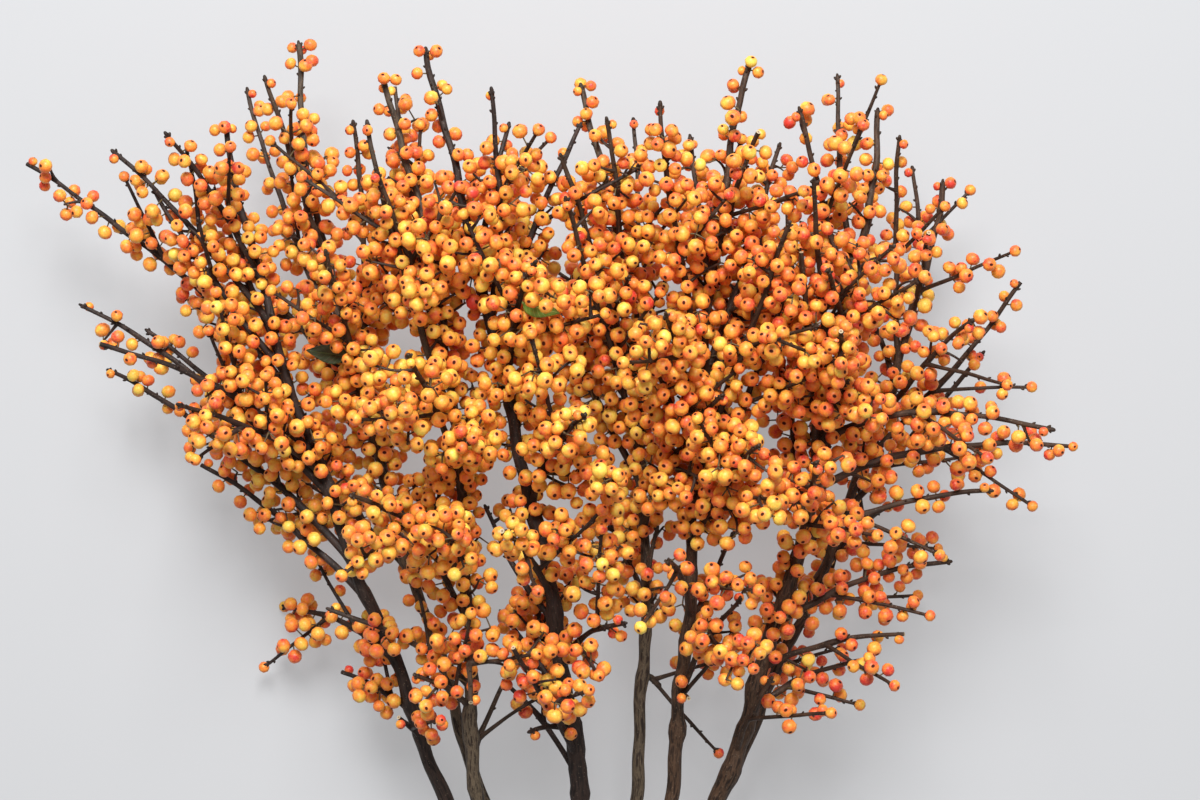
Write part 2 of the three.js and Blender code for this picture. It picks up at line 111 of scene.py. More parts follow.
class Seed(Enum):
    """Where each kind of random choice starts its streams; the first three are the CAD source's."""

    TWIGS = 1000
    SHOOT_BERRIES = 5000
    TWIG_BERRIES = 9000
    INNER_TWIGS = 15000
    SWAY = 20000
    BARE = 25000
    SPURS = 30000
    CLUSTERS = 40000
    TONES = 60000
    BUDS = 70000


@dataclass(frozen=True)
class BranchPlan:
    """One cut branch: its butt's radius, its stem's control points and its shoots, in millimetres.

    A shoot is (share of the stem that it springs from, tip x, tip y, tip z, number of twigs).
    """

    butt: float
    stem: tuple[Triple, ...]
    shoots: tuple[tuple[float, float, float, float, int], ...]


BRANCHES = (
    BranchPlan(6.5, ((-38.2, -310, 5.5), (-40, -80, 60), (-185, 140, 150), (-226, 389, 110)), (
        (0.42, -112, -1, 110, 1), (0.45, -156, 24, 60, 1), (0.5, -202, 63, 6.5, 2), (0.56, -250, 164, 70, 1),
        (0.6, -317, 228, 46, 1), (0.66, -319, 270, 120, 1), (0.7, -297, 244, 170, 1),
        (0.68, -242, 205, 200, 2), (0.76, -368, 367, 70, 1), (0.82, -294, 371, 130, 1),
        (0.86, -254, 376, 170, 1),
    )),
    BranchPlan(5.5, ((-26.5, -315, 4.6), (-20, -60, 40), (-165, 160, 110), (-183, 445, 90)), (
        (0.55, -190, 150, 6.5, 2), (0.62, -150, 300, 200, 2), (0.68, -230, 300, 6.5, 2),
        (0.7, -148, 386, 140, 2), (0.76, -211, 424, 60, 1), (0.82, -196, 419, 120, 1),
    )),
    BranchPlan(6, ((-23.5, -312, 16.1), (-100, -40, 110), (-30, 170, 170), (-120, 412, 150)), (
        (0.44, -156, 72, 130, 1), (0.47, -60, 20, 195, 1), (0.54, -130, 150, 232, 2),
        (0.62, -95, 235, 246, 2), (0.68, -118, 383, 190, 2), (0.74, -114, 350, 222, 1),
        (0.8, -113, 418, 110, 1), (0.42, -98, 32, 150, 1), (0.5, -98, 160, 120, 1),
    )),
    BranchPlan(7.5, ((-14.1, -312, 5.9), (50, -60, 120), (-40, 190, 190), (-91, 432, 150)), (
        (0.4, -26, -5, 150, 1), (0.46, 34, 70, 200, 2), (0.52, -40, 130, 246, 2), (0.6, 10, 200, 250, 2),
        (0.7, -20, 290, 244, 2), (0.76, -57, 401, 190, 1), (0.8, -40, 388, 130, 1), (0.38, -34, 62, 200, 1),
    )),
    BranchPlan(5.5, ((-1, -310, 4.6), (60, -70, 70), (70, 170, 110), (8, 416, 100)), (
        (0.46, 60, 15, 60, 2), (0.52, 20, 130, 6.5, 2), (0.6, 95, 210, 200, 2), (0.64, -39, 371, 80, 2),
        (0.7, 20, 300, 30, 2), (0.74, 38, 401, 60, 1), (0.8, 19, 388, 150, 1), (0.66, 0, 335, 190, 1),
    )),
    BranchPlan(6, ((3.6, -310, 16.2), (110, -40, 100), (55, 180, 160), (116, 423, 140)), (
        (0.42, 78, 13, 130, 1), (0.5, 60, 110, 236, 2), (0.56, 115, 180, 250, 2), (0.64, 60, 260, 240, 2),
        (0.72, 64, 395, 180, 1), (0.78, 78, 383, 100, 1), (0.82, 118, 374, 205, 1), (0.42, 106, 84, 190, 1),
        (0.6, 128, 290, 180, 1),
    )),
    BranchPlan(8, ((23.3, -312, 6.4), (90, -60, 110), (180, 150, 170), (201, 397, 120)), (
        (0.44, 194, 34, 90, 1), (0.48, 215, 57, 150, 1), (0.52, 250, 101, 100, 1), (0.57, 150, 170, 246, 2),
        (0.6, 270, 149, 150, 1), (0.65, 333, 176, 110, 1), (0.7, 301, 190, 190, 1), (0.7, 165, 250, 246, 2),
        (0.76, 159, 287, 226, 1), (0.8, 148, 393, 160, 1), (0.84, 184, 424, 90, 1), (0.4, 134, 28, 130, 1),
        (0.62, 140, 262, 110, 1),
    )),
    BranchPlan(5.5, ((10.4, -308, 4.6), (90, -50, 40), (210, 120, 70), (250, 354, 80)), (
        (0.46, 150, 40, 6.5, 2), (0.54, 189, 85, 6.5, 2), (0.6, 222, 133, 6.5, 2), (0.66, 274, 244, 60, 1),
        (0.72, 293, 292, 90, 1), (0.76, 259, 258, 140, 1), (0.8, 160, 330, 20, 1), (0.82, 224, 380, 110, 1),
        (0.86, 231, 315, 150, 1), (0.88, 235, 367, 40, 1),
    )),
)


INNER_SHOOTS = (  # (branch, its row): shoots inside the fan that only the drawn bunch has
    (5, (0.66, 125, 335, 90, 2)), (5, (0.7, 118, 270, 60, 1)), (5, (0.62, 132, 318, 225, 1)),
    (6, (0.7, 148, 335, 150, 2)), (6, (0.66, 146, 300, 205, 1)), (6, (0.74, 160, 345, 225, 1)),
    (3, (0.72, 6, 388, 120, 1)), (4, (0.72, -4, 366, 160, 1)), (5, (0.72, 132, 378, 110, 1)),
    (0, (0.78, -262, 350, 120, 1)), (0, (0.8, -236, 352, 90, 1)), (3, (0.42, -46, 66, 100, 1)),
    (3, (0.36, -44, 20, 90, 1)), (3, (0.5, -50, 140, 120, 0)), (5, (0.46, 108, 120, 90, 0)),
    (2, (0.37, -46, 18, 90, 1)), (0, (0.66, -285, 262, 80, 1)), (4, (0.5, 60, 124, 100, 0)),
)


class Rank(Enum):
    """How old a length of wood is, from the stem outwards; the berries' stalks come last."""

    STEM = 0
    SHOOT = 1
    TWIG = 2
    SPUR = 3
    STALK = 4


def stream(kind: Seed, number: int) -> Draw:
    """A seeded stream of numbers from 0 to 1, the same one as in the CAD source.

    Args:
        kind: what the numbers are for.
        number: which stream of that kind.

    Returns:
        A function that gives the next number each time.
    """
    mask = 0xFFFFFFFF
    state = (kind.value + number) & mask

    def draw() -> float:
        """The next number from 0 to 1."""
        nonlocal state
        state = (state + 0x6D2B79F5) & mask
        mixed = ((state ^ (state >> 15)) * (1 | state)) & mask
        mixed = ((mixed + (((mixed ^ (mixed >> 7)) * (61 | mixed)) & mask)) & mask) ^ mixed
        return (mixed ^ (mixed >> 14)) / (mask + 1)

    return draw


def between(ends: Pair, draw: Draw) -> float:
    """A drawn number between two ends."""
    return ends[0] + (ends[1] - ends[0]) * draw()


def unit(vector: Array) -> Array:
    """The vector at a length of 1."""
    return vector / math.sqrt(float(vector @ vector))


def cross(a: Array, b: Array) -> Array:
    """The cross product of two vectors, quicker for one pair than the array routine."""
    return np.array([a[1] * b[2] - a[2] * b[1], a[2] * b[0] - a[0] * b[2], a[0] * b[1] - a[1] * b[0]])


def bezier(controls: Iterable[Array], share: float) -> Array:
    """A point on the Bezier curve of any number of control points.

    Args:
        controls: the control points.
        share: where on the curve, from 0 to 1.

    Returns:
        The point.
    """
    points = list(controls)
    while len(points) > 1:
        points = [a + (b - a) * share for a, b in zip(points, points[1:])]
    return points[0]


def direction_at(controls: Iterable[Array], share: float) -> Array:
    """The way that a Bezier curve heads at a share of it."""
    return unit(bezier(controls, share + TANGENT_STEP) - bezier(controls, share - TANGENT_STEP))


def radial_at(direction: Array, angle: float) -> Array:
    """A unit vector square to a direction.

    Args:
        direction: the direction, of length 1.
        angle: how far it is turned round the direction, in radians.

    Returns:
        The vector.
    """
    upright = abs(direction[2]) > 0.9
    side = unit(cross(direction, np.array([1.0, 0.0, 0.0]) if upright else UP))
    return side * math.cos(angle) + cross(side, direction) * math.sin(angle)


def towards_tip(share: float, draw: Draw) -> float:
    """The radius of a berry of the CAD source, which is smaller towards a tip."""
    least, spread = BERRY_SPREAD
    return BERRY_RADIUS * (1 - (1 - SMALL_BERRY) * share * share) * (least + spread * draw())


@dataclass
class Wood:
    """A length of wood as the CAD source grows it: a curve in straight steps, with a radius at both ends."""

    branch: int
    controls: list[Array]
    radii: Pair
    steps: int
    host: int = -1
    at: float = 0.0

    def __post_init__(self) -> None:
        """Works out the length and the ends of the straight steps."""
        middle = bezier(self.controls, 0.5)
        self.length = math.dist(middle, self.controls[0]) + math.dist(middle, self.controls[-1])
        self.knots = np.array([bezier(self.controls, i / self.steps) for i in range(self.steps + 1)])

    def radius_at(self, share: float | Array) -> float | Array:
        """The radius at a share of the length, or at each of several."""
        return self.radii[0] + (self.radii[1] - self.radii[0]) * share

    def point_at(self, share: float) -> Array:
        """The point on the straight steps at a share of the curve."""
        step = min(int(share * self.steps), self.steps - 1)
        return self.knots[step] + (self.knots[step + 1] - self.knots[step]) * (share * self.steps - step)

    def samples(self) -> tuple[Array, Array, Array]:
        """Points along the wood, with the radius and the run from the root at each.

        Returns:
            The points, the radii and the runs.
        """
        count = math.ceil(self.length / SAMPLE)
        shares = np.arange(count + 1) / count
        points = np.array([self.point_at(share) for share in shares])
        return points, self.radius_at(shares), shares * self.length


@dataclass
class CadBerry:
    """A berry that the CAD source places."""

    branch: int
    host: int
    share: float
    centre: Array
    radius: float
    axis: Array
    lies: bool = False


class Growth:
    """Grows the wood and the first berries by the rule of the CAD source."""

    def __init__(self) -> None:
        """Grows the wood, each length clear of those before it."""
        self.woods: list[Wood] = []
        self.berries: list[CadBerry] = []
        self.points = np.zeros((0, 3))
        self.radii = np.zeros(0)
        self.owners = np.zeros(0, int)
        self.hosts = np.zeros(0, int)
        for branch, plan in enumerate(BRANCHES):
            controls = [np.array(point, float) for point in plan.stem]
            self.keep(Wood(branch, controls, (plan.butt, STEM_TIP_RADIUS), STEM_STEPS))
        self.stem_count = len(self.woods)
        rows = [(branch, row) for branch, plan in enumerate(BRANCHES) for row in plan.shoots]
        for branch, row in rows:
            self.keep(self.grow_shoot(branch, row))
        self.shoot_count = len(self.woods) - self.stem_count
        for number, (_, row) in enumerate(rows[: self.shoot_count]):
            self.grow_twigs(self.stem_count + number, row[4], stream(Seed.TWIGS, number))

    def keep(self, wood: Wood | None) -> None:
        """Adds a length of wood that found a clear way."""
        if wood is not None:
            points, radii, _ = wood.samples()
            self.occupy(points, radii, wood.branch, len(self.woods))
            self.woods.append(wood)

    def occupy(self, points: Array, radii: Array, owner: int = -1, host: int = -1) -> None:
        """Takes up room.

        Args:
            points: the points that are taken.
            radii: the radius round each.
            owner: the branch that they belong to, or -1.
            host: the number of the wood that they belong to, or -1.
        """
        self.points = np.vstack([self.points, points])
        self.radii = np.concatenate([self.radii, radii])
        self.owners = np.concatenate([self.owners, np.full(len(points), owner)])
        self.hosts = np.concatenate([self.hosts, np.full(len(points), host)])

    def is_clear(self, wood: Wood) -> bool:
        """Whether a length of wood has a clear way.

        Args:
            wood: the wood.

        Returns:
            True if it keeps off the surface and all that was placed before it.
        """
        points, radii, runs = wood.samples()
        if np.any(points[:, 2] < radii - FLAT):
            return False
        near = np.all(np.abs(self.points - points.mean(0)) < np.ptp(points, axis=0) / 2 + NEAR, axis=1)
        others, other_radii, owners = self.points[near], self.radii[near], self.owners[near]
        if not len(others):
            return True
        squares = ((points[:, None, :] - others[None, :, :]) ** 2).sum(2)
        apart = radii[:, None] + other_radii[None, :] + AIR
        touches = squares <= apart**2 + SAMPLE**2 / 2
        touches &= ~((owners[None, :] == wood.branch) & (runs[:, None] < ROOT_ZONE))
        return not touches.any()

    def bent_clear(self, plan: Wood) -> Wood | None:
        """The first of several bends of a length of wood that keeps it clear.

        Args:
            plan: the wood unbent, with a root, a middle and a tip.

        Returns:
            The bent wood, or nothing.
        """
        root, middle, tip = plan.controls
        chord = unit(tip - root)
        for attempt in range(BEND_TRIES):
            bend = radial_at(chord, attempt * GOLDEN_TURN) * (BEND_STEP * math.sqrt(attempt))
            wood = replace(plan, controls=[root, middle + bend, tip + bend * BEND_AT_TIP])
            if self.is_clear(wood):
                return wood
        return None

    def grow_shoot(self, branch: int, row: tuple[float, float, float, float, int]) -> Wood | None:
        """A shoot from the stem to its tip.

        Args:
            branch: which branch.
            row: the shoot's row of the plan.

        Returns:
            The wood, or nothing.
        """
        stem = self.woods[branch]
        at = row[0]
        root = stem.point_at(at)
        tip = np.array(row[1:4], float)
        reach = math.dist(tip, root)
        heading = unit(direction_at(stem.controls, at) * SHOOT_START + (tip - root) / reach)
        base, per_reach = SHOOT_ROOT
        radii = (min(base + reach * per_reach, stem.radius_at(at) * SHOOT_OF_STEM), SHOOT_TIP_RADIUS)
        controls = [root, root + heading * (reach * SHOOT_KNEE), tip]
        return self.bent_clear(Wood(branch, controls, radii, SHOOT_STEPS, branch, at))

    def grow_twigs(self, number: int, count: int, draw: Draw) -> None:
        """Grows the twigs of a shoot.

        Args:
            number: the number of the shoot's wood.
            count: how many twigs it has.
            draw: its stream of numbers.
        """
        shoot = self.woods[number]
        for index in range(count):
            at = TWIG_FROM + (TWIG_RUN * (index + draw() * TWIG_JITTER)) / count
            direction = direction_at(shoot.controls, at)
            out = radial_at(direction, index * GOLDEN_TURN + draw() * TWIG_TURN)
            length = between(TWIG_LENGTH, draw)
            root = shoot.point_at(at)
            tip = root + (direction * math.cos(TWIG_ANGLE) + out * math.sin(TWIG_ANGLE)) * length
            controls = [root, root + (tip - root) * 0.5, tip]
            self.keep(self.bent_clear(Wood(shoot.branch, controls, TWIG_RADIUS, TWIG_STEPS, number, at)))

    def add_inner_shoots(self) -> None:
        """Adds the shoots that only the drawn bunch has, clear of all that the CAD source places."""
        centres = np.array([berry.centre for berry in self.berries])
        self.occupy(centres, np.array([berry.radius for berry in self.berries]))
        for order, (branch, row) in enumerate(INNER_SHOOTS):
            first = len(self.woods)
            self.keep(self.grow_shoot(branch, row))
            if len(self.woods) > first:
                self.grow_twigs(first, row[4], stream(Seed.INNER_TWIGS, order))

    def has_room(self, berry: CadBerry) -> bool:
        """Whether a berry has room.

        Args:
            berry: the berry.

        Returns:
            True if it keeps off the surface, the wood other than its host and the berries before it.
        """
        if berry.centre[2] < berry.radius - FLAT - ROUNDING:
            return False
        gaps = np.linalg.norm(self.points - berry.centre, axis=1)
        touches = gaps <= berry.radius + self.radii + AIR + SAMPLE / 5
        if np.any(touches & (self.hosts != berry.host)):
            return False
        reach = berry.radius + AIR
        return all(math.dist(berry.centre, other.centre) > reach + other.radius for other in self.berries)

    def try_berry(self, number: int, share: float, angle: float, radius: float) -> None:
        """Puts a berry on a length of wood, at the first angle where it has room.

        Args:
            number: the number of the wood.
            share: where along it.
            angle: the first angle tried.
            radius: the berry's radius.
        """
        wood = self.woods[number]
        direction = direction_at(wood.controls, min(share, LAST_TANGENT))
        for turn in range(BERRY_TRIES):
            out = radial_at(direction, angle + turn * BERRY_SHIFT)
            centre = wood.point_at(share) + out * (wood.radius_at(share) + radius - BERRY_SINK)
            berry = CadBerry(wood.branch, number, share, centre, radius, out)
            if self.has_room(berry):
                self.berries.append(berry)
                return

    def grow_berries(self) -> None:
        """Places the berries of the CAD source."""
        first_twig = self.stem_count + self.shoot_count
        for number, wood in enumerate(self.woods[:first_twig]):
            self.line_with_berries(number, wood, stream(Seed.SHOOT_BERRIES, number))
        carrying, of_all = TWIG_BERRIES
        for index, wood in enumerate(self.woods[first_twig:]):
            number = first_twig + index
            draw = stream(Seed.TWIG_BERRIES, index)
            out = direction_at(wood.controls, LAST_TANGENT)
            radius = towards_tip(TWIG_TIP_SIZE, draw)
            centre = wood.controls[-1] + out * (radius * TIP_BERRY_OVERLAP)
            tip_berry = CadBerry(wood.branch, number, 1.0, centre, radius, out)
            if self.has_room(tip_berry):
                self.berries.append(tip_berry)
            if index % of_all < carrying:
                angle = draw() * FIRST_TURNS
                self.try_berry(number, TWIG_BERRY_AT, angle, towards_tip(TWIG_BERRY_SIZE, draw))

    def line_with_berries(self, number: int, wood: Wood, draw: Draw) -> None:
        """Places the berries of a stem or a shoot, from its tip down.

        Args:
            number: the number of the wood.
            wood: the wood.
            draw: its stream of numbers.
        """
        bare = BARE_LEADER if number < self.stem_count else BARE_SHOOT
        step = BERRY_PITCH / wood.length
        share = 1 - TIP_MARGIN / wood.length
        if wood.controls[-1][2] < FOOT_TIP_Z + 1:
            radius = towards_tip(TWIG_TIP_SIZE, draw)
            centre = np.array([*wood.controls[-1][:2], radius - FLAT])
            self.berries.append(CadBerry(wood.branch, number, 1.0, centre, radius, -UP, True))
            share -= step
        turn = draw() * FIRST_TURNS
        while share > bare:
            self.try_berry(number, share, turn, towards_tip(share, draw))
            share -= step
            turn += GOLDEN_TURN


@dataclass
class Limb:
    """A length of wood as it is drawn: a fine path, with its radius and run from the root at each point."""

    branch: int
    rank: Rank
    path: Array
    girth: Array
    cut_root: bool = False
    cut_tip: bool = False
    bare: list[Pair] = field(default_factory=list)

    def __post_init__(self) -> None:
        """Works out the run from the root and the length."""
        steps = np.linalg.norm(np.diff(self.path, axis=0), axis=1)
        self.run = np.concatenate([[0.0], np.cumsum(steps)])
        self.length = float(self.run[-1])

    def is_bare(self, run: float) -> bool:
        """Whether no fruit sits at a run from the root."""
        return any(low <= run <= high for low, high in self.bare)

    def place(self, share: float) -> tuple[Array, Array, float]:
        """What the limb is like at a share of its path.

        Args:
            share: where along it, from 0 to 1.

        Returns:
            The point, the direction and the radius.
        """
        last = len(self.path) - 1
        spot = min(max(share, 0.0), 1.0) * last
        step = min(int(spot), last - 1)
        reach = self.path[step + 1] - self.path[step]
        point = self.path[step] + reach * (spot - step)
        return point, unit(reach), float(np.interp(spot, [step, step + 1], self.girth[step : step + 2]))


@dataclass
class Berry:
    """A berry as it is drawn, with the point of the wood that its stalk springs from."""

    branch: int
    centre: Array
    radius: float
    axis: Array
    node: Array | None


class Room:
    """Remembers what stands where, in cells, so that the neighbours of a new berry are found quickly."""

    CELL = 14.0
    AROUND = tuple((i, j, k) for i in (-1, 0, 1) for j in (-1, 0, 1) for k in (-1, 0, 1))

    def __init__(self) -> None:
        """Starts empty."""
        self.cells: dict[tuple[int, ...], list[tuple[float, float, float, float, int]]] = {}

    def cell(self, point: Iterable[float]) -> tuple[int, ...]:
        """The cell that a point is in."""
        return tuple(int(value // self.CELL) for value in point)

    def add(self, point: Array, radius: float, owner: int = -1) -> None:
        """Takes up a ball of room, which belongs to a limb, or to a berry or a leaf if its number is -1."""
        x, y, z = point.tolist()
        self.cells.setdefault(self.cell((x, y, z)), []).append((x, y, z, radius, owner))

    def is_free(self, point: Array, radius: float, air: float, host: int | None = None) -> bool:
        """Whether a ball has room.

        Args:
            point: its centre.
            radius: its radius.
            air: the least gap to what is there.
            host: the number of the limb that it may touch, if any.

        Returns:
            True if nothing else comes closer.
        """
        x, y, z = point.tolist()
        i, j, k = self.cell((x, y, z))
        for a, b, c in self.AROUND:
            for px, py, pz, size, owner in self.cells.get((i + a, j + b, k + c), ()):
                apart = radius + size + air
                if owner != host and (px - x) ** 2 + (py - y) ** 2 + (pz - z) ** 2 < apart * apart:
                    return False
        return True


@dataclass(frozen=True)
class Heart:
    """A part of the fan where the fruit is dense: its middle, its reach both ways and its fullness."""

    x: float
    y: float
    across: float
    along: float
    most: float

    LEVEL = 1.55  # fullness that the middle would have if it weren't cut off at 1
    FALL = 1.25  # what each reach away from the middle takes off it

    def fullness(self, point: Array) -> float:
        """How dense the fruit is at a place because of this part, from 0 to its fullness."""
        away = math.hypot((point[0] - self.x) / self.across, (point[1] - self.y) / self.along)
        return self.most * min(max(self.LEVEL - self.FALL * away, 0.0), 1.0)


@dataclass(frozen=True)
class FruitHabit:
    """How the berries sit on the wood, in millimetres, radians and shares."""

    sizes: Pair = (1.0, 1.24)  # against a full berry of the CAD source
    tip_size: float = 0.85  # what a berry at a tip has of its size
    tip_margin: float = 0.5  # from the tip to the first cluster
    spur_place: float = 0.5  # place along a shoot that the size of a spur's berries goes by
    sparse_pitch: float = 15.5  # between clusters where the fruit is thin
    dense_pitch: float = 9.6  # and where it is full
    sparse_count: float = 2.6  # most berries that a thin cluster has after its first
    dense_count: float = 2.9  # berries that a full place adds
    spur_berries: int = 4  # most berries of a cluster on a spur
    fan_angles: tuple[float, ...] = (0.0, 1.15, -1.15, 2.25, -2.25, 3.14, 0.6)  # round the wood, in a cluster
    along: Pair = (-3.5, 3.5)  # how far a berry's stalk springs from its cluster's middle
    stalk: Pair = (0.9, 2.6)
    lean: Pair = (-0.24, 0.56)  # towards the tip, against straight out
    turn_out: Pair = (0.36, 1.17)  # how far the eye turns out of the bunch
    touch: float = -0.45  # air between berries: they press into one another a little
    tries: int = 12
    try_turn: float = 0.42
    tries_at_height: int = 4  # after which the stalk is made longer
    lift: float = 2.3  # by this much
    rooted: float = 0.8  # share of the wood's radius at which a stalk starts
    front: float = 0.7  # cosine within which a berry hides the wood from outside
    front_share: float = 0.6  # of the clusters that leave the wood's front open
    bare_root: tuple[float, ...] = (0.52, 0.13, 0.12, 0.3)  # share of each rank of wood without fruit
    bare_tip: Pair = (1.0, 30.0)
    low_bare_tip: float = 12.0  # the same on a short side shoot
    bare_above: float = 330.0  # height in the fan above which every tip may be bare
    thin: float = 0.3  # fullness under which a shoot is at the fan's edge
    bare_stretch: Pair = (18.0, 40.0)
    bare_start: Pair = (0.3, 0.7)
    bare_chance: float = 0.5
    open_height: float = 6.5  # height over bare wood that the fruit of others keeps off
    open_radius: float = 2.0
    highest: float = 269.0
    spine: Triple = (0.0, 150.0, 80.0)  # middle of the bunch, which the fruit faces away from
    spread: Triple = (0.35, 0.35, 1.0)  # how much each way counts in that
    hearts: tuple[Heart, ...] = tuple(Heart(*row) for row in (
        (-10, 224, 262, 157, 1.0), (-85, 32, 75, 45, 0.75), (123, 65, 85, 60, 0.55), (-250, 335, 50, 50, 0.4),
        (205, 95, 50, 32, 0.4), (-30, 60, 32, 28, 1.0), (-170, 55, 50, 32, 0.35), (195, 160, 50, 35, 0.4),
        (131, 352, 30, 30, 0.8), (-46, 12, 16, 20, 0.8), (-257, 260, 22, 14, 0.8), (110, 117, 20, 18, 0.8),
    ))
    clearings: tuple[Heart, ...] = tuple(Heart(*row) for row in (
        (240, 127, 30, 22, 1.2), (166, 50, 30, 22, 1.0), (-24, 100, 24, 16, 1.2), (-29, 385, 30, 25, 1.0),
        (60, 15, 45, 40, 1.0), (0, -30, 190, 40, 1.6), (266, 224, 22, 16, 1.4), (236, 292, 18, 18, 0.9),
        (-63, 262, 15, 32, 1.2), (100, 222, 19, 16, 1.2), (44, 256, 14, 28, 1.2), (69, 95, 22, 22, 1.2),
        (-63, 28, 16, 24, 1.3), (-29, 160, 12, 24, 1.0), (195, 128, 20, 16, 1.0), (-156, 82, 20, 30, 1.1),
        (163, 98, 18, 16, 0.9), (-252, 224, 18, 13, 1.0), (3, 378, 20, 16, 0.9),
    ))

    def fullness(self, point: Array) -> float:
        """How dense the fruit is somewhere: 1 in the middle of the fan, 0 at its tips, less in clearings."""
        full = max(heart.fullness(point) for heart in self.hearts)
        return full - max(clearing.fullness(point) for clearing in self.clearings)

    def radius(self, share: float, draw: Draw) -> float:
        """The radius of a filled-in berry, a little smaller towards a tip."""
        return BERRY_RADIUS * (1 - (1 - self.tip_size) * share * share) * between(self.sizes, draw)

    def outwards(self, point: Array) -> Array:
        """The way out of the bunch from a place in it."""
        return unit((point - np.array(self.spine)) * np.array(self.spread))


@dataclass(frozen=True)
class WoodHabit:
    """How the wood is drawn, in millimetres, radians and shares. Some rows have a number for each rank."""

    spacing: tuple[float, ...] = (6.0, 4.0, 5.0, 4.0)
    least_steps: int = 4
    sway: tuple[float, ...] = (1.5, 0.9, 0.5, 0.3)
    sway_waves: tuple[Pair, ...] = ((135.0, 1.0), (43.0, 2.6))  # length, and what the sway is divided by
    settled: Pair = (0.12, 0.37)  # share of the wood over which the sway sets in
    lumps: Pair = (0.05, 11.0)  # share of the girth, and the run of a radian
    any_phase: float = 6.3
    collar: Pair = (0.45, 4.0)  # swelling of a shoot's root: share of the girth, and its run
    knot: Pair = (0.24, 6.0)  # the same of its host
    pruned: float = 0.3  # share of the shoots whose tip was cut
    spur_pitch: float = 15.0
    pitch_draw: Pair = (0.7, 1.3)
    spur_from: tuple[float, ...] = (0.5, 0.14, 0.14)  # share of the host without spurs
    spur_end: float = 8.0  # length of a tip without spurs
    spur_chance: Pair = (0.08, 0.8)  # where the fruit is thin, and what fullness adds
    spur_length: Pair = (10.0, 27.0)
    spur_full: Pair = (0.3, 1.0)  # share of its draw on top of the least, where the fruit is thin and full
    spur_slant: Pair = (0.25, 0.85)
    spur_radius: Pair = (1.05, 0.7)
    spur_collar: Pair = (0.5, 3.0)
    spur_bend: float = 0.08
    spur_tries: int = 5
    spur_turn: float = 1.3
    spur_room: tuple[Triple, ...] = ((1.0, 3.0, 1.0), (0.6, 1.5, 0.3))  # share of it, radius and air
    lowest: float = 5.6


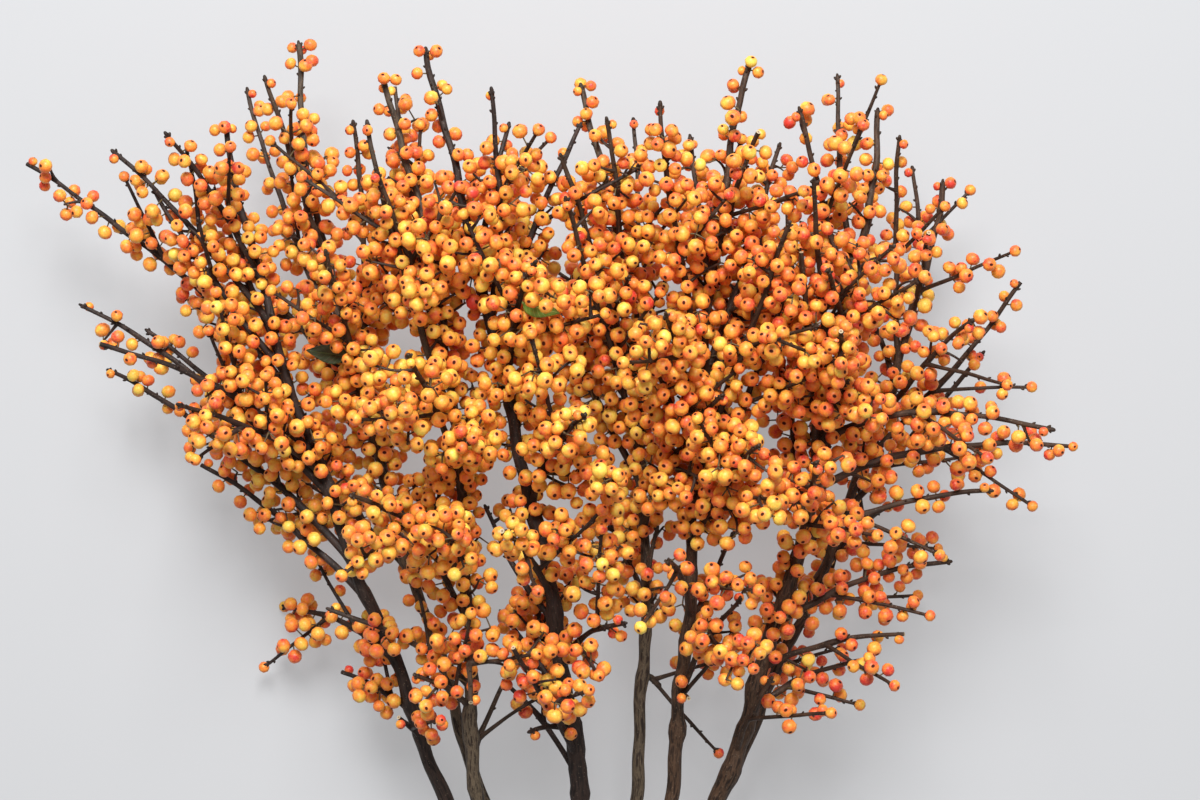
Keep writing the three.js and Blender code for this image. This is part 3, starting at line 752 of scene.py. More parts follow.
class Bunch:
    """The whole bunch as it is drawn: limbs and berries, in the millimetres of the layout."""

    def __init__(
        self, growth: Growth, fruit: FruitHabit, habit: WoodHabit, blades: Iterable[Array], blade_room: float
    ) -> None:
        """Draws the grown wood finely, then adds spurs and fills in the fruit.

        Args:
            growth: what the CAD source grows.
            fruit: how the berries sit.
            habit: how the wood is drawn.
            blades: points along each leaf.
            blade_room: how far the fruit keeps off them.
        """
        self.fruit = fruit
        self.habit = habit
        self.limbs: list[Limb] = []
        self.berries: list[Berry] = []
        self.room = Room()
        for point in np.vstack(blades):
            self.room.add(point, blade_room)
        for number, wood in enumerate(growth.woods):
            rank = Rank.STEM if wood.host < 0 else Rank.SHOOT if wood.host < len(BRANCHES) else Rank.TWIG
            self.add_limb(self.draw_wood(wood, rank, stream(Seed.SWAY, number)))
            if wood.host >= 0:
                self.swell(self.limbs[wood.host], wood.at)
        grown = len(self.limbs)
        for number in range(len(BRANCHES), grown):
            self.strip(number, stream(Seed.BARE, number))
        for berry in growth.berries:
            self.carry_over(berry, growth)
        for number in range(grown):
            self.add_spurs(number, stream(Seed.SPURS, number))
        for number in range(len(self.limbs)):
            self.fill(number, stream(Seed.CLUSTERS, number))

    def draw_wood(self, wood: Wood, rank: Rank, draw: Draw) -> Limb:
        """A grown length of wood as a fine path on its host.

        Args:
            wood: the grown wood.
            rank: how old it is.
            draw: its stream of numbers.

        Returns:
            The limb.
        """
        habit = self.habit
        count = max(habit.least_steps, math.ceil(wood.length / habit.spacing[rank.value]))
        shares = np.linspace(0, 1, count + 1)
        path = np.array([bezier(wood.controls, share) for share in shares])
        if wood.host >= 0:
            start = self.limbs[wood.host].place(wood.at)[0]
            path += (start - path[0]) * ((1 - shares) ** 2)[:, None]
        chord = unit(path[-1] - path[0])
        run = shares * wood.length
        settled = np.interp(shares, habit.settled, (0, 1))
        for wave, divisor in habit.sway_waves:
            for quarter in (0.0, math.pi / 2):
                phase = run / wave * 2 * math.pi + draw() * habit.any_phase
                swing = np.sin(phase) * habit.sway[rank.value] / divisor
                path += radial_at(chord, quarter)[None, :] * (swing * settled)[:, None]
        share, radian = habit.lumps
        girth = wood.radius_at(shares) * (1 + share * np.sin(run / radian + draw() * habit.any_phase))
        if rank is not Rank.STEM:
            girth *= 1 + habit.collar[0] * np.exp(-run / habit.collar[1])
        path[:, 2] = np.maximum(path[:, 2], girth - FLAT)
        cut_tip = rank is Rank.SHOOT and draw() < habit.pruned
        return Limb(wood.branch, rank, path, girth, rank is Rank.STEM, cut_tip)

    def swell(self, host: Limb, at: float) -> None:
        """Thickens a limb where another springs from it."""
        share, run = self.habit.knot
        host.girth *= 1 + share * np.exp(-(((host.run - host.length * at) / run) ** 2))

    def add_limb(self, limb: Limb) -> None:
        """Adds a limb and the room that it takes."""
        for run in np.arange(0, limb.length, SAMPLE):
            point, _, radius = limb.place(run / limb.length)
            self.room.add(point, radius, len(self.limbs))
        self.limbs.append(limb)

    def strip(self, number: int, draw: Draw) -> None:
        """Leaves stretches of a limb without fruit, and keeps the fruit of others off their outer side.

        Args:
            number: the number of the limb.
            draw: its stream of numbers.
        """
        limb, fruit = self.limbs[number], self.fruit
        low, high = fruit.bare_tip
        if limb.path[-1, 1] < fruit.bare_above and fruit.fullness(limb.path[-1]) < fruit.thin:
            high = fruit.low_bare_tip
        limb.bare.append((limb.length - low - (high - low) * draw() ** 2, limb.length))
        if limb.rank is Rank.SHOOT and high > fruit.low_bare_tip and draw() < fruit.bare_chance:
            start = limb.length * between(fruit.bare_start, draw)
            limb.bare.append((start, start + between(fruit.bare_stretch, draw)))
        for start, end in limb.bare:
            for run in np.arange(start, min(end, limb.length), SAMPLE):
                point, _, radius = limb.place(run / limb.length)
                over = point + fruit.outwards(point) * fruit.open_height
                self.room.add(over, radius + fruit.open_radius, number)

    def carry_over(self, berry: CadBerry, growth: Growth) -> None:
        """Takes over a berry of the CAD source, moved with the wood that it sits on.

        Args:
            berry: the berry.
            growth: the wood that it was grown on.
        """
        shift = self.limbs[berry.host].place(berry.share)[0] - growth.woods[berry.host].point_at(berry.share)
        if berry.lies:
            shift[2] = 0
        centre = berry.centre + shift
        centre[2] = max(centre[2], berry.radius - FLAT)
        self.add_berry(Berry(berry.branch, centre, berry.radius, berry.axis, None))

    def add_berry(self, berry: Berry) -> None:
        """Adds a berry and the room that it takes."""
        self.berries.append(berry)
        self.room.add(berry.centre, berry.radius)

    def add_spurs(self, number: int, draw: Draw) -> None:
        """Adds the short spurs that carry fruit out from a limb, more of them in the middle of the fan.

        Args:
            number: the number of the limb.
            draw: its stream of numbers.
        """
        host, habit = self.limbs[number], self.habit
        run = host.length * habit.spur_from[host.rank.value] + draw() * habit.spur_pitch
        turn = draw() * FIRST_TURNS
        thin, more = habit.spur_chance
        while run < host.length - habit.spur_end:
            full = self.fruit.fullness(host.place(run / host.length)[0])
            if draw() < thin + more * full:
                self.add_spur(number, run / host.length, turn, max(full, 0.0), draw)
            run += habit.spur_pitch * between(habit.pitch_draw, draw)
            turn += GOLDEN_TURN

    def add_spur(self, number: int, share: float, turn: float, full: float, draw: Draw) -> None:
        """Adds one spur if it has room.

        Args:
            number: the number of its host limb.
            share: where along the host it springs from.
            turn: its angle round the host.
            full: how dense the fruit is there.
            draw: a stream of numbers.
        """
        habit = self.habit
        root, direction, radius = self.limbs[number].place(share)
        (low, high), (thin, dense) = habit.spur_length, habit.spur_full
        length = low + (high - low) * (thin + (dense - thin) * full) * draw() + radius
        for attempt in range(habit.spur_tries):
            out = radial_at(direction, turn + attempt * habit.spur_turn)
            heading = unit(out + direction * between(habit.spur_slant, draw))
            spots = [(root + heading * length * place, size, air) for place, size, air in habit.spur_room]
            if min(spot[2] for spot, _, _ in spots) < habit.lowest:
                continue
            if all(self.room.is_free(spot, size, air, number) for spot, size, air in spots):
                count = max(2, math.ceil(length / habit.spacing[Rank.SPUR.value]))
                shares = np.linspace(0, 1, count + 1)
                bend = radial_at(heading, draw() * FIRST_TURNS) * (length * habit.spur_bend)
                path = root + heading * (length * shares)[:, None] + bend * np.sin(shares * math.pi)[:, None]
                (thick, fine), (collar, run) = habit.spur_radius, habit.spur_collar
                girth = (thick + (fine - thick) * shares) * (1 + collar * np.exp(-shares * length / run))
                self.add_limb(Limb(self.limbs[number].branch, Rank.SPUR, path, girth))
                return

    def fill(self, number: int, draw: Draw) -> None:
        """Sets clusters of berries along a limb, from its tip down to its bare part.

        Args:
            number: the number of the limb.
            draw: its stream of numbers.
        """
        limb, fruit = self.limbs[number], self.fruit
        run = limb.length - fruit.tip_margin
        turn = draw() * FIRST_TURNS
        while run > limb.length * fruit.bare_root[limb.rank.value]:
            share = run / limb.length
            full = fruit.fullness(limb.place(share)[0])
            crowding = max(full, 0.0)
            count = 1 + int(draw() * fruit.sparse_count + crowding * fruit.dense_count)
            if limb.rank is Rank.SPUR:
                count = min(count, fruit.spur_berries)
            if draw() > -full and not limb.is_bare(run):
                self.set_cluster(number, share, turn, count, draw)
            pitch = fruit.sparse_pitch + (fruit.dense_pitch - fruit.sparse_pitch) * crowding
            run -= pitch * between(self.habit.pitch_draw, draw)
            turn += GOLDEN_TURN

    def set_cluster(self, number: int, share: float, turn: float, count: int, draw: Draw) -> None:
        """Sets one cluster of berries round a node of the wood.

        Args:
            number: the number of the limb.
            share: where along it.
            turn: the angle of the first berry.
            count: how many berries are tried.
            draw: a stream of numbers.
        """
        limb, fruit = self.limbs[number], self.fruit
        is_spur = limb.rank is Rank.SPUR
        outwards = fruit.outwards(limb.place(share)[0])
        open_front = not is_spur and draw() < fruit.front_share
        for angle in fruit.fan_angles[:count]:
            radius = fruit.radius(fruit.spur_place if is_spur else share, draw)
            point, direction, girth = limb.place(share + between(fruit.along, draw) / limb.length)
            stalk = between(fruit.stalk, draw)
            lean = between(fruit.lean, draw)
            for attempt in range(fruit.tries):
                step = (attempt + 1) // 2 * (1 if attempt % 2 else -1)
                out = radial_at(direction, turn + angle + step * fruit.try_turn)
                if open_front and float(out @ outwards) > fruit.front:
                    continue
                axis = unit(out + direction * lean)
                node = point + out * girth * fruit.rooted
                centre = node + axis * (stalk + radius + fruit.lift * (attempt // fruit.tries_at_height))
                if not radius <= centre[2] <= fruit.highest - radius:
                    continue
                if self.room.is_free(centre, radius, fruit.touch):
                    eye = unit(axis + outwards * between(fruit.turn_out, draw))
                    self.add_berry(Berry(limb.branch, centre, radius, eye, node))
                    break


GRAIN_REACH = 2.0  # millimetres from a berry's middle to its skin, in the grain that its patterns follow


def linear(hex_code: str) -> tuple[float, float, float, float]:
    """An sRGB hex colour as the linear colour that a shader takes."""
    channels = [int(hex_code[i : i + 2], 16) / 255 for i in (1, 3, 5)]
    curved = [c / 12.92 if c <= 0.04045 else ((c + 0.055) / 1.055) ** 2.4 for c in channels]
    return (*curved, 1.0)


def add_node(
    tree: NodeTree, kind: str, inputs: Mapping[str | int, object] | None = None, **settings: object
) -> Node:
    """Adds a node with its settings and links.

    Args:
        tree: the tree it goes into.
        kind: the node's type.
        inputs: for each input, the value that it is given, or what it is linked to: a socket, or the first
            output in use of a node.
        settings: the node's own settings.

    Returns:
        The node.
    """
    node = tree.nodes.new(kind)
    for name, value in settings.items():
        setattr(node, name, value)
    for key, value in (inputs or {}).items():
        if isinstance(value, Node):
            value = next(socket for socket in value.outputs if socket.enabled)
        if isinstance(value, NodeSocket):
            tree.links.new(value, node.inputs[key])
        else:
            node.inputs[key].default_value = value
    return node


def set_ramp(ramp: Node, stops: Iterable[Stop]) -> Node:
    """Gives a colour ramp its stops.

    Args:
        ramp: the ramp's node.
        stops: its stops.

    Returns:
        The same node.
    """
    elements = ramp.color_ramp.elements
    while len(elements) > 1:
        elements.remove(elements[-1])
    for index, (place, hex_code) in enumerate(stops):
        element = elements[0] if index == 0 else elements.new(place)
        element.position = place
        element.color = linear(hex_code)
    return ramp


def new_material(name: str) -> tuple[Material, Adder]:
    """A new material without nodes, and the function that adds nodes to it."""
    material = bpy.data.materials.new(name)
    material.use_nodes = True
    material.node_tree.nodes.clear()
    return material, partial(add_node, material.node_tree)


def set_surface(add: Adder, inputs: Mapping[str, object]) -> None:
    """Ends a material in its shader, whose inputs are as add_node takes them."""
    add("ShaderNodeOutputMaterial", {"Surface": add("ShaderNodeBsdfPrincipled", inputs)})


def span(source: Pair, target: Pair) -> dict[str, float]:
    """The inputs with which a Map Range node takes one range to another."""
    return dict(zip(("From Min", "From Max", "To Min", "To Max"), (*source, *target)))


@dataclass(frozen=True)
class BerrySkin:
    """Waxy winterberry skin, ripened on the branch: an even satin gloss, a dark eye and a blush round it."""

    golds: tuple[Stop, ...] = (  # from the palest berries to the ripest
        (0.0, "#F3D25C"), (0.2, "#F4BA4B"), (0.42, "#F4A241"), (0.65, "#EF8239"), (0.87, "#E6663E"),
        (1.0, "#CF3E32"),
    )
    mottle: float = 1.1  # how far apart in ripeness the patches of a skin are
    mottle_mm: float = 5.0
    fleck: float = 0.5  # and its fine flecks
    fleck_mm: float = 1.1
    cheek: float = 0.24  # how much riper one side of a berry is than its middle
    blush: str = "#D9582F"
    blush_most: float = 0.62  # share of the skin's colour that it takes beside the eye
    blush_reach: Pair = (0.05, 0.24)  # where it starts to fade and where it ends, from eye (0) to stalk (1)
    eye: str = "#42160D"  # the dry scar of the flower
    eye_edge: Pair = (0.06, 0.086)  # its blurred edge, on the same way
    eye_narrow: float = 1.15  # how much it is drawn in one way and let out the other, so that it is oval
    roughness: float = 0.4
    eye_roughness: float = 1.0  # it has no wax
    flesh: float = 0.12  # light that goes into the flesh and comes out redder
    flesh_mm: float = 1.5

    def make(self) -> Material:
        """Builds the material."""
        material, add = new_material("waxy winterberry skin")
        tone = add("ShaderNodeAttribute", attribute_name="tone").outputs["Fac"]
        pole = add("ShaderNodeAttribute", attribute_name="pole").outputs["Fac"]
        grain = add("ShaderNodeAttribute", attribute_name="grain").outputs["Vector"]
        place = add("ShaderNodeTexCoord").outputs["Object"]
        patches = add(
            "ShaderNodeTexNoise", {"Vector": place, "Scale": 1 / (self.mottle_mm * MM), "Detail": 2.0}
        )
        shift = add(
            "ShaderNodeMath", {0: patches, 1: self.mottle, 2: -(self.mottle + self.fleck) / 2},
            operation="MULTIPLY_ADD",
        )
        flecks = add(
            "ShaderNodeTexNoise", {"Vector": place, "Scale": 1 / (self.fleck_mm * MM), "Detail": 1.0}
        )
        flecked = add("ShaderNodeMath", {0: flecks, 1: self.fleck, 2: shift}, operation="MULTIPLY_ADD")
        side = add("ShaderNodeSeparateXYZ", {0: grain})
        cheek = add(
            "ShaderNodeMath", {0: side, 1: self.cheek / (GRAIN_REACH * MM), 2: flecked},
            operation="MULTIPLY_ADD",
        )
        ripe = add("ShaderNodeMath", {0: tone, 1: cheek}, operation="ADD")
        skin = set_ramp(add("ShaderNodeValToRGB", {"Fac": ripe}), self.golds)
        near = add("ShaderNodeMapRange", {"Value": pole, **span(self.blush_reach, (self.blush_most, 0.0))})
        blushed = add("ShaderNodeMix", {0: near, 6: skin, 7: linear(self.blush)}, data_type="RGBA")
        oval = add(
            "ShaderNodeVectorMath", {0: grain, 1: (self.eye_narrow, 1 / self.eye_narrow, 0.0)},
            operation="MULTIPLY",
        )
        off_eye = add("ShaderNodeVectorMath", {0: oval}, operation="LENGTH")
        share = add("ShaderNodeMath", {0: off_eye, 1: 1 / (GRAIN_REACH * MM * math.pi)}, operation="MULTIPLY")
        # That length is short again at the stalk, where half the way from the eye takes its place.
        halfway = add("ShaderNodeMath", {0: pole, 1: 0.5}, operation="MULTIPLY")
        from_eye = add("ShaderNodeMath", {0: share, 1: halfway}, operation="MAXIMUM")
        rim = add("ShaderNodeMapRange", {"Value": from_eye, **span(self.eye_edge, (1.0, 0.0))})
        eyed = add("ShaderNodeMix", {0: rim, 6: blushed, 7: linear(self.eye)}, data_type="RGBA")
        dulled = add(
            "ShaderNodeMapRange", {"Value": rim, "To Min": self.roughness, "To Max": self.eye_roughness}
        )
        set_surface(add, {
            "Base Color": eyed, "Roughness": dulled, "IOR": 1.4, "Subsurface Weight": self.flesh,
            "Subsurface Scale": self.flesh_mm * MM, "Subsurface Radius": (1.0, 0.5, 0.15),
        })
        return material


class BarkKind(Enum):
    """The bark of a branch: the colours of its hollows, of an old stem's ridges and of the young wood."""

    WET = ("#140E0B", "#3A2C25", "#40302A")
    FURROWED = ("#211913", "#6B5D4A", "#4A382D")
    WARM = ("#1E140E", "#5C4432", "#4C3628")


@dataclass(frozen=True)
class Bark:
    """Winterberry bark: thin, grey-brown with pale pores on the twigs, dark and furrowed on old stems."""

    kind: BarkKind
    furrow_mm: float = 2.4
    furrow_stretch: float = 0.16  # width of a furrow against its length
    furrow_stops: Triple = (0.4, 0.52, 0.62)  # hollow, ridge, hollow
    furrow_depth_mm: float = 1.2
    patch_mm: float = 11.11  # of the young wood's darker patches
    patch_stops: Pair = (0.3, 0.7)
    pore: str = "#7C6C5A"
    pore_mm: float = 2.2  # from one pore to the next
    pore_edge: Pair = (0.1, 0.22)  # share of that over which a pore fades out
    pore_most: float = 0.5  # share of the bark's colour that it takes
    roughness: Pair = (0.46, 0.78)  # in the damp hollows and on the dry ridges
    ridges: Pair = (0.3, 0.7)  # height of the furrows' noise at which these are reached

    def make(self) -> Material:
        """Builds the material."""
        deep, ridge, young = self.kind.value
        material, add = new_material(f"winterberry bark, {self.kind.name.lower()}")
        grain = add("ShaderNodeAttribute", attribute_name="grain").outputs["Vector"]
        age = add("ShaderNodeAttribute", attribute_name="age").outputs["Fac"]
        stretched = add("ShaderNodeMapping", {"Vector": grain, "Scale": (1.0, 1.0, self.furrow_stretch)})
        furrows = add(
            "ShaderNodeTexNoise",
            {"Vector": stretched, "Scale": 1 / (self.furrow_mm * MM), "Detail": 4.0, "Roughness": 0.62},
        )
        old = set_ramp(
            add("ShaderNodeValToRGB", {"Fac": furrows}), zip(self.furrow_stops, (deep, ridge, deep))
        )
        patches = add(
            "ShaderNodeTexNoise", {"Vector": grain, "Scale": 1 / (self.patch_mm * MM), "Detail": 3.0}
        )
        smooth = set_ramp(
            add("ShaderNodeValToRGB", {"Fac": patches}), zip(self.patch_stops, (deep, young))
        )
        aged = add("ShaderNodeMix", {0: age, 6: smooth, 7: old}, data_type="RGBA")
        pores = add(
            "ShaderNodeTexVoronoi", {"Vector": grain, "Scale": 1 / (self.pore_mm * MM), "Randomness": 1.0}
        )
        pore = add("ShaderNodeMapRange", {"Value": pores, **span(self.pore_edge, (self.pore_most, 0.0))})
        dotted = add("ShaderNodeMix", {0: pore, 6: aged, 7: linear(self.pore)}, data_type="RGBA")
        rough = add("ShaderNodeMapRange", {"Value": furrows, **span(self.ridges, self.roughness)})
        bump = add(
            "ShaderNodeBump", {"Height": furrows, "Strength": 0.9, "Distance": self.furrow_depth_mm * MM}
        )
        set_surface(add, {
            "Base Color": dotted, "Roughness": rough, "Normal": bump, "Specular IOR Level": 0.3,
        })
        return material


@dataclass(frozen=True)
class CutWood:
    """Fresh-cut winterberry wood: pale and dry, with fine rings round a small brown pith."""

    pale: str = "#D3C6A8"
    ring: str = "#B29C78"
    ring_mm: float = 0.8
    pith: str = "#7A5F45"
    pith_mm: Pair = (0.4, 0.9)  # radii between which it fades out
    roughness: float = 0.85

    def make(self) -> Material:
        """Builds the material."""
        material, add = new_material("cut winterberry wood")
        grain = add("ShaderNodeAttribute", attribute_name="grain").outputs["Vector"]
        flat = add("ShaderNodeVectorMath", {0: grain, 1: (1.0, 1.0, 0.0)}, operation="MULTIPLY")
        out = add("ShaderNodeVectorMath", {0: flat}, operation="LENGTH")
        waves = add("ShaderNodeMath", {0: out, 1: 2 * math.pi / (self.ring_mm * MM)}, operation="MULTIPLY")
        rings = add("ShaderNodeMath", {0: waves}, operation="SINE")
        shade = add("ShaderNodeMapRange", {"Value": rings, "From Min": -1.0, "From Max": 1.0})
        wood = add("ShaderNodeMix", {0: shade, 6: linear(self.pale), 7: linear(self.ring)}, data_type="RGBA")
        heart = add(
            "ShaderNodeMapRange",
            {"Value": out, **span((self.pith_mm[0] * MM, self.pith_mm[1] * MM), (1.0, 0.0))},
        )
        whole = add("ShaderNodeMix", {0: heart, 6: wood, 7: linear(self.pith)}, data_type="RGBA")
        set_surface(add, {"Base Color": whole, "Roughness": self.roughness})
        return material


@dataclass(frozen=True)
class Stalk:
    """The green-brown stalk of a berry: soft and dull, with a faint grain."""

    green: str = "#6B5B2E"
    brown: str = "#4B3A26"
    grain_mm: float = 1.667
    roughness: float = 0.6

    def make(self) -> Material:
        """Builds the material."""
        material, add = new_material("berry stalk")
        grain = add("ShaderNodeAttribute", attribute_name="grain").outputs["Vector"]
        noise = add("ShaderNodeTexNoise", {"Vector": grain, "Scale": 1 / (self.grain_mm * MM)})
        colour = set_ramp(
            add("ShaderNodeValToRGB", {"Fac": noise}), ((0.3, self.brown), (0.7, self.green))
        )
        set_surface(add, {"Base Color": colour, "Roughness": self.roughness})
        return material


class LeafKind(Enum):
    """A leaf's blade colours: its veins, its blade and its worn patches."""

    GREEN = ("#A9BF62", "#6F8F35", "#8F8A3A")
    DARK = ("#4E5A2C", "#2C371A", "#3A3020")


@dataclass(frozen=True)
class LeafSkin:
    """A winterberry leaf late in the season: a thin waxy blade with pale sunken veins and dull patches.

    Its patterns follow the blade's own measure: across from its rib, and along it.
    """

    kind: LeafKind
    rib: Pair = (0.03, 0.09)  # from the rib's middle, where it starts to fade and where it ends
    side_veins: int = 8
    vein_slant: float = 0.22  # how far a side vein runs towards the tip on its way to the edge
    vein_edge: float = 0.86  # the higher, the finer the side veins
    vein_most: float = 0.6  # share of the blade's colour that a side vein takes
    vein_depth_mm: float = 0.4
    patch: float = 0.25  # size of the worn patches
    patch_edge: Pair = (0.5, 0.7)
    patch_most: float = 0.7
    roughness: float = 0.42

    def make(self) -> Material:
        """Builds the material."""
        vein, blade, worn = self.kind.value
        material, add = new_material(f"winterberry leaf, {self.kind.name.lower()}")
        place = add("ShaderNodeAttribute", attribute_name="blade").outputs["Vector"]
        split = add("ShaderNodeSeparateXYZ", {0: place})
        across = add("ShaderNodeMath", {0: split.outputs["X"]}, operation="ABSOLUTE")
        rib = add("ShaderNodeMapRange", {"Value": across, **span(self.rib, (1.0, 0.0))})
        along = split.outputs["Y"]
        slant = add("ShaderNodeMath", {0: across, 1: -self.vein_slant, 2: along}, operation="MULTIPLY_ADD")
        comb = add("ShaderNodeMath", {0: slant, 1: 2 * math.pi * self.side_veins}, operation="MULTIPLY")
        wave = add("ShaderNodeMath", {0: comb}, operation="COSINE")
        side = add(
            "ShaderNodeMapRange", {"Value": wave, **span((self.vein_edge, 1.0), (0.0, self.vein_most))},
        )
        veins = add("ShaderNodeMath", {0: rib, 1: side}, operation="MAXIMUM")
        noise = add("ShaderNodeTexNoise", {"Vector": place, "Scale": 1 / self.patch, "Detail": 3.0})
        patch = add("ShaderNodeMapRange", {"Value": noise, **span(self.patch_edge, (0.0, self.patch_most))})
        base = add("ShaderNodeMix", {0: patch, 6: linear(blade), 7: linear(worn)}, data_type="RGBA")
        whole = add("ShaderNodeMix", {0: veins, 6: base, 7: linear(vein)}, data_type="RGBA")
        bump = add("ShaderNodeBump", {"Height": veins, "Strength": 0.4, "Distance": -self.vein_depth_mm * MM})
        set_surface(add, {"Base Color": whole, "Roughness": self.roughness, "Normal": bump})
        return material


def in_frame(points: Array) -> Array:
    """Layout points in millimetres as metres in the part's frame."""
    return (points - LAYOUT_MIDDLE) * MM


def mesh_object(name: str, mesh: Mesh) -> Object:
    """A new object with a mesh, in the scene."""
    piece = bpy.data.objects.new(name, mesh)
    bpy.context.scene.collection.objects.link(piece)
    return piece


def new_tree(name: str, sockets: Mapping[str, str]) -> tuple[NodeTree, Adder, Node]:
    """A Geometry Nodes tree with named inputs.

    Args:
        name: the tree's name.
        sockets: each input's name and its kind of socket.

    Returns:
        The tree, the function that adds nodes to it, and its group input node.
    """
    tree = bpy.data.node_groups.new(name, "GeometryNodeTree")
    tree.interface.new_socket(name="Geometry", in_out="OUTPUT", socket_type="NodeSocketGeometry")
    for label, kind in {"Geometry": "NodeSocketGeometry", **sockets}.items():
        tree.interface.new_socket(name=label, in_out="INPUT", socket_type=kind)
    add = partial(add_node, tree)
    return tree, add, add("NodeGroupInput")


def grow_mesh(points: Object, tree: NodeTree, values: Mapping[str, object]) -> Mesh:
    """Runs a tree on an object and returns what it makes as a plain mesh.

    Args:
        points: the object with the points or paths, which is removed.
        tree: the tree.
        values: a value for each named input.

    Returns:
        The mesh.
    """
    modifier = points.modifiers.new("grow", "NODES")
    modifier.node_group = tree
    identifiers = {item.name: item.identifier for item in tree.interface.items_tree if item.in_out == "INPUT"}
    for label, value in values.items():
        modifier[identifiers[label]] = value
    return baked_mesh(points)


def baked_mesh(raw: Object) -> Mesh:
    """The mesh that an object's modifiers make of it; the object and its own mesh are removed."""
    graph = bpy.context.evaluated_depsgraph_get()
    finished = raw.evaluated_get(graph)
    mesh = bpy.data.meshes.new_from_object(finished, preserve_all_data_layers=True, depsgraph=graph)
    remove_object(raw)
    return mesh


def remove_object(raw: Object) -> None:
    """Removes an object and its mesh."""
    mesh = raw.data
    bpy.data.objects.remove(raw)
    bpy.data.meshes.remove(mesh)


# How many sides a tube has, in the order of the ranks.
SIDES = {"Stem sides": 20, "Shoot sides": 10, "Twig sides": 7, "Spur sides": 6, "Stalk sides": 4}
RELIEF_STRETCH = 0.3  # width of the bark's bumps against their length


def tube_tree() -> NodeTree:
    """A tree that turns paths into tapered tubes with bark relief and closed ends.

    The paths carry girth, run, age, sawn and rank on their points.

    Returns:
        The tree.
    """
    sockets = {label: "NodeSocketInt" for label in SIDES}
    sockets |= {"Relief": "NodeSocketFloat", "Relief size": "NodeSocketFloat"}
    sockets |= {label: "NodeSocketMaterial" for label in ("Bark", "Cut wood", "Stalk")}
    tree, add, given = new_tree("tubes along paths", sockets)
    carried = {"girth": "FLOAT", "run": "FLOAT", "sawn": "FLOAT", "rank": "INT", "ring": "FLOAT_VECTOR"}
    girth, run, sawn, rank, ring = (
        add("GeometryNodeInputNamedAttribute", {"Name": name}, data_type=kind)
        for name, kind in carried.items()
    )
    place = add("GeometryNodeInputPosition")
    joined = add("GeometryNodeJoinGeometry")
    for number, label in enumerate(SIDES):
        picked = add("FunctionNodeCompare", {2: rank, 3: number}, data_type="INT", operation="EQUAL")
        curve = add("GeometryNodeMeshToCurve", {"Mesh": given.outputs["Geometry"], "Selection": picked})
        circle = add("GeometryNodeCurvePrimitiveCircle", {"Resolution": given.outputs[label], "Radius": 1.0})
        marked = add(
            "GeometryNodeStoreNamedAttribute", {"Geometry": circle, "Name": "ring", "Value": place},
            data_type="FLOAT_VECTOR", domain="POINT",
        )
        tube = add(
            "GeometryNodeCurveToMesh",
            {"Curve": curve, "Profile Curve": marked, "Scale": girth, "Fill Caps": True},
        )
        tree.links.new(tube.outputs[0], joined.inputs[0])
    wide = add("ShaderNodeCombineXYZ", {0: girth, 1: girth})
    round_part = add("ShaderNodeVectorMath", {0: ring, 1: wide}, operation="MULTIPLY")
    long_part = add("ShaderNodeCombineXYZ", {2: run})
    grain = add("ShaderNodeVectorMath", {0: round_part, 1: long_part})
    stored = add(
        "GeometryNodeStoreNamedAttribute", {"Geometry": joined, "Name": "grain", "Value": grain},
        data_type="FLOAT_VECTOR", domain="POINT",
    )
    stretched = add("ShaderNodeVectorMath", {0: grain, 1: (1.0, 1.0, RELIEF_STRETCH)}, operation="MULTIPLY")
    pitch = add("ShaderNodeMath", {0: 1.0, 1: given.outputs["Relief size"]}, operation="DIVIDE")
    noise = add("ShaderNodeTexNoise", {"Vector": stretched, "Scale": pitch, "Detail": 2.0})
    centred = add("ShaderNodeMath", {0: noise, 1: 0.5}, operation="SUBTRACT")
    depth = add("ShaderNodeMath", {0: given.outputs["Relief"], 1: girth}, operation="MULTIPLY")
    height = add("ShaderNodeMath", {0: centred, 1: depth}, operation="MULTIPLY")
    normal = add("GeometryNodeInputNormal")
    offset = add("ShaderNodeVectorMath", {0: normal, "Scale": height}, operation="SCALE")
    raised = add("GeometryNodeSetPosition", {"Geometry": stored, "Offset": offset})
    corner_count = add("GeometryNodeInputMeshFaceNeighbors").outputs["Vertex Count"]
    cap = add("FunctionNodeCompare", {2: corner_count, 3: 4}, data_type="INT", operation="GREATER_THAN")
    fresh = add("FunctionNodeCompare", {0: sawn, 1: 0.5}, data_type="FLOAT", operation="GREATER_THAN")
    sawn_cap = add("FunctionNodeBooleanMath", {0: cap, 1: fresh}, operation="AND")
    is_stalk = add("FunctionNodeCompare", {2: rank, 3: Rank.STALK.value}, data_type="INT", operation="EQUAL")
    smooth = add("GeometryNodeSetShadeSmooth", {"Geometry": raised, "Shade Smooth": True})
    flat_caps = add(
        "GeometryNodeSetShadeSmooth", {"Geometry": smooth, "Selection": cap, "Shade Smooth": False}
    )
    shape = add("GeometryNodeRealizeInstances", {"Geometry": flat_caps})
    shape = add("GeometryNodeSetMaterial", {"Geometry": shape, "Material": given.outputs["Bark"]})
    for label, where in (("Stalk", is_stalk), ("Cut wood", sawn_cap)):
        shape = add(
            "GeometryNodeSetMaterial",
            {"Geometry": shape, "Selection": where, "Material": given.outputs[label]},
        )
    add("NodeGroupOutput", {0: shape})
    return tree


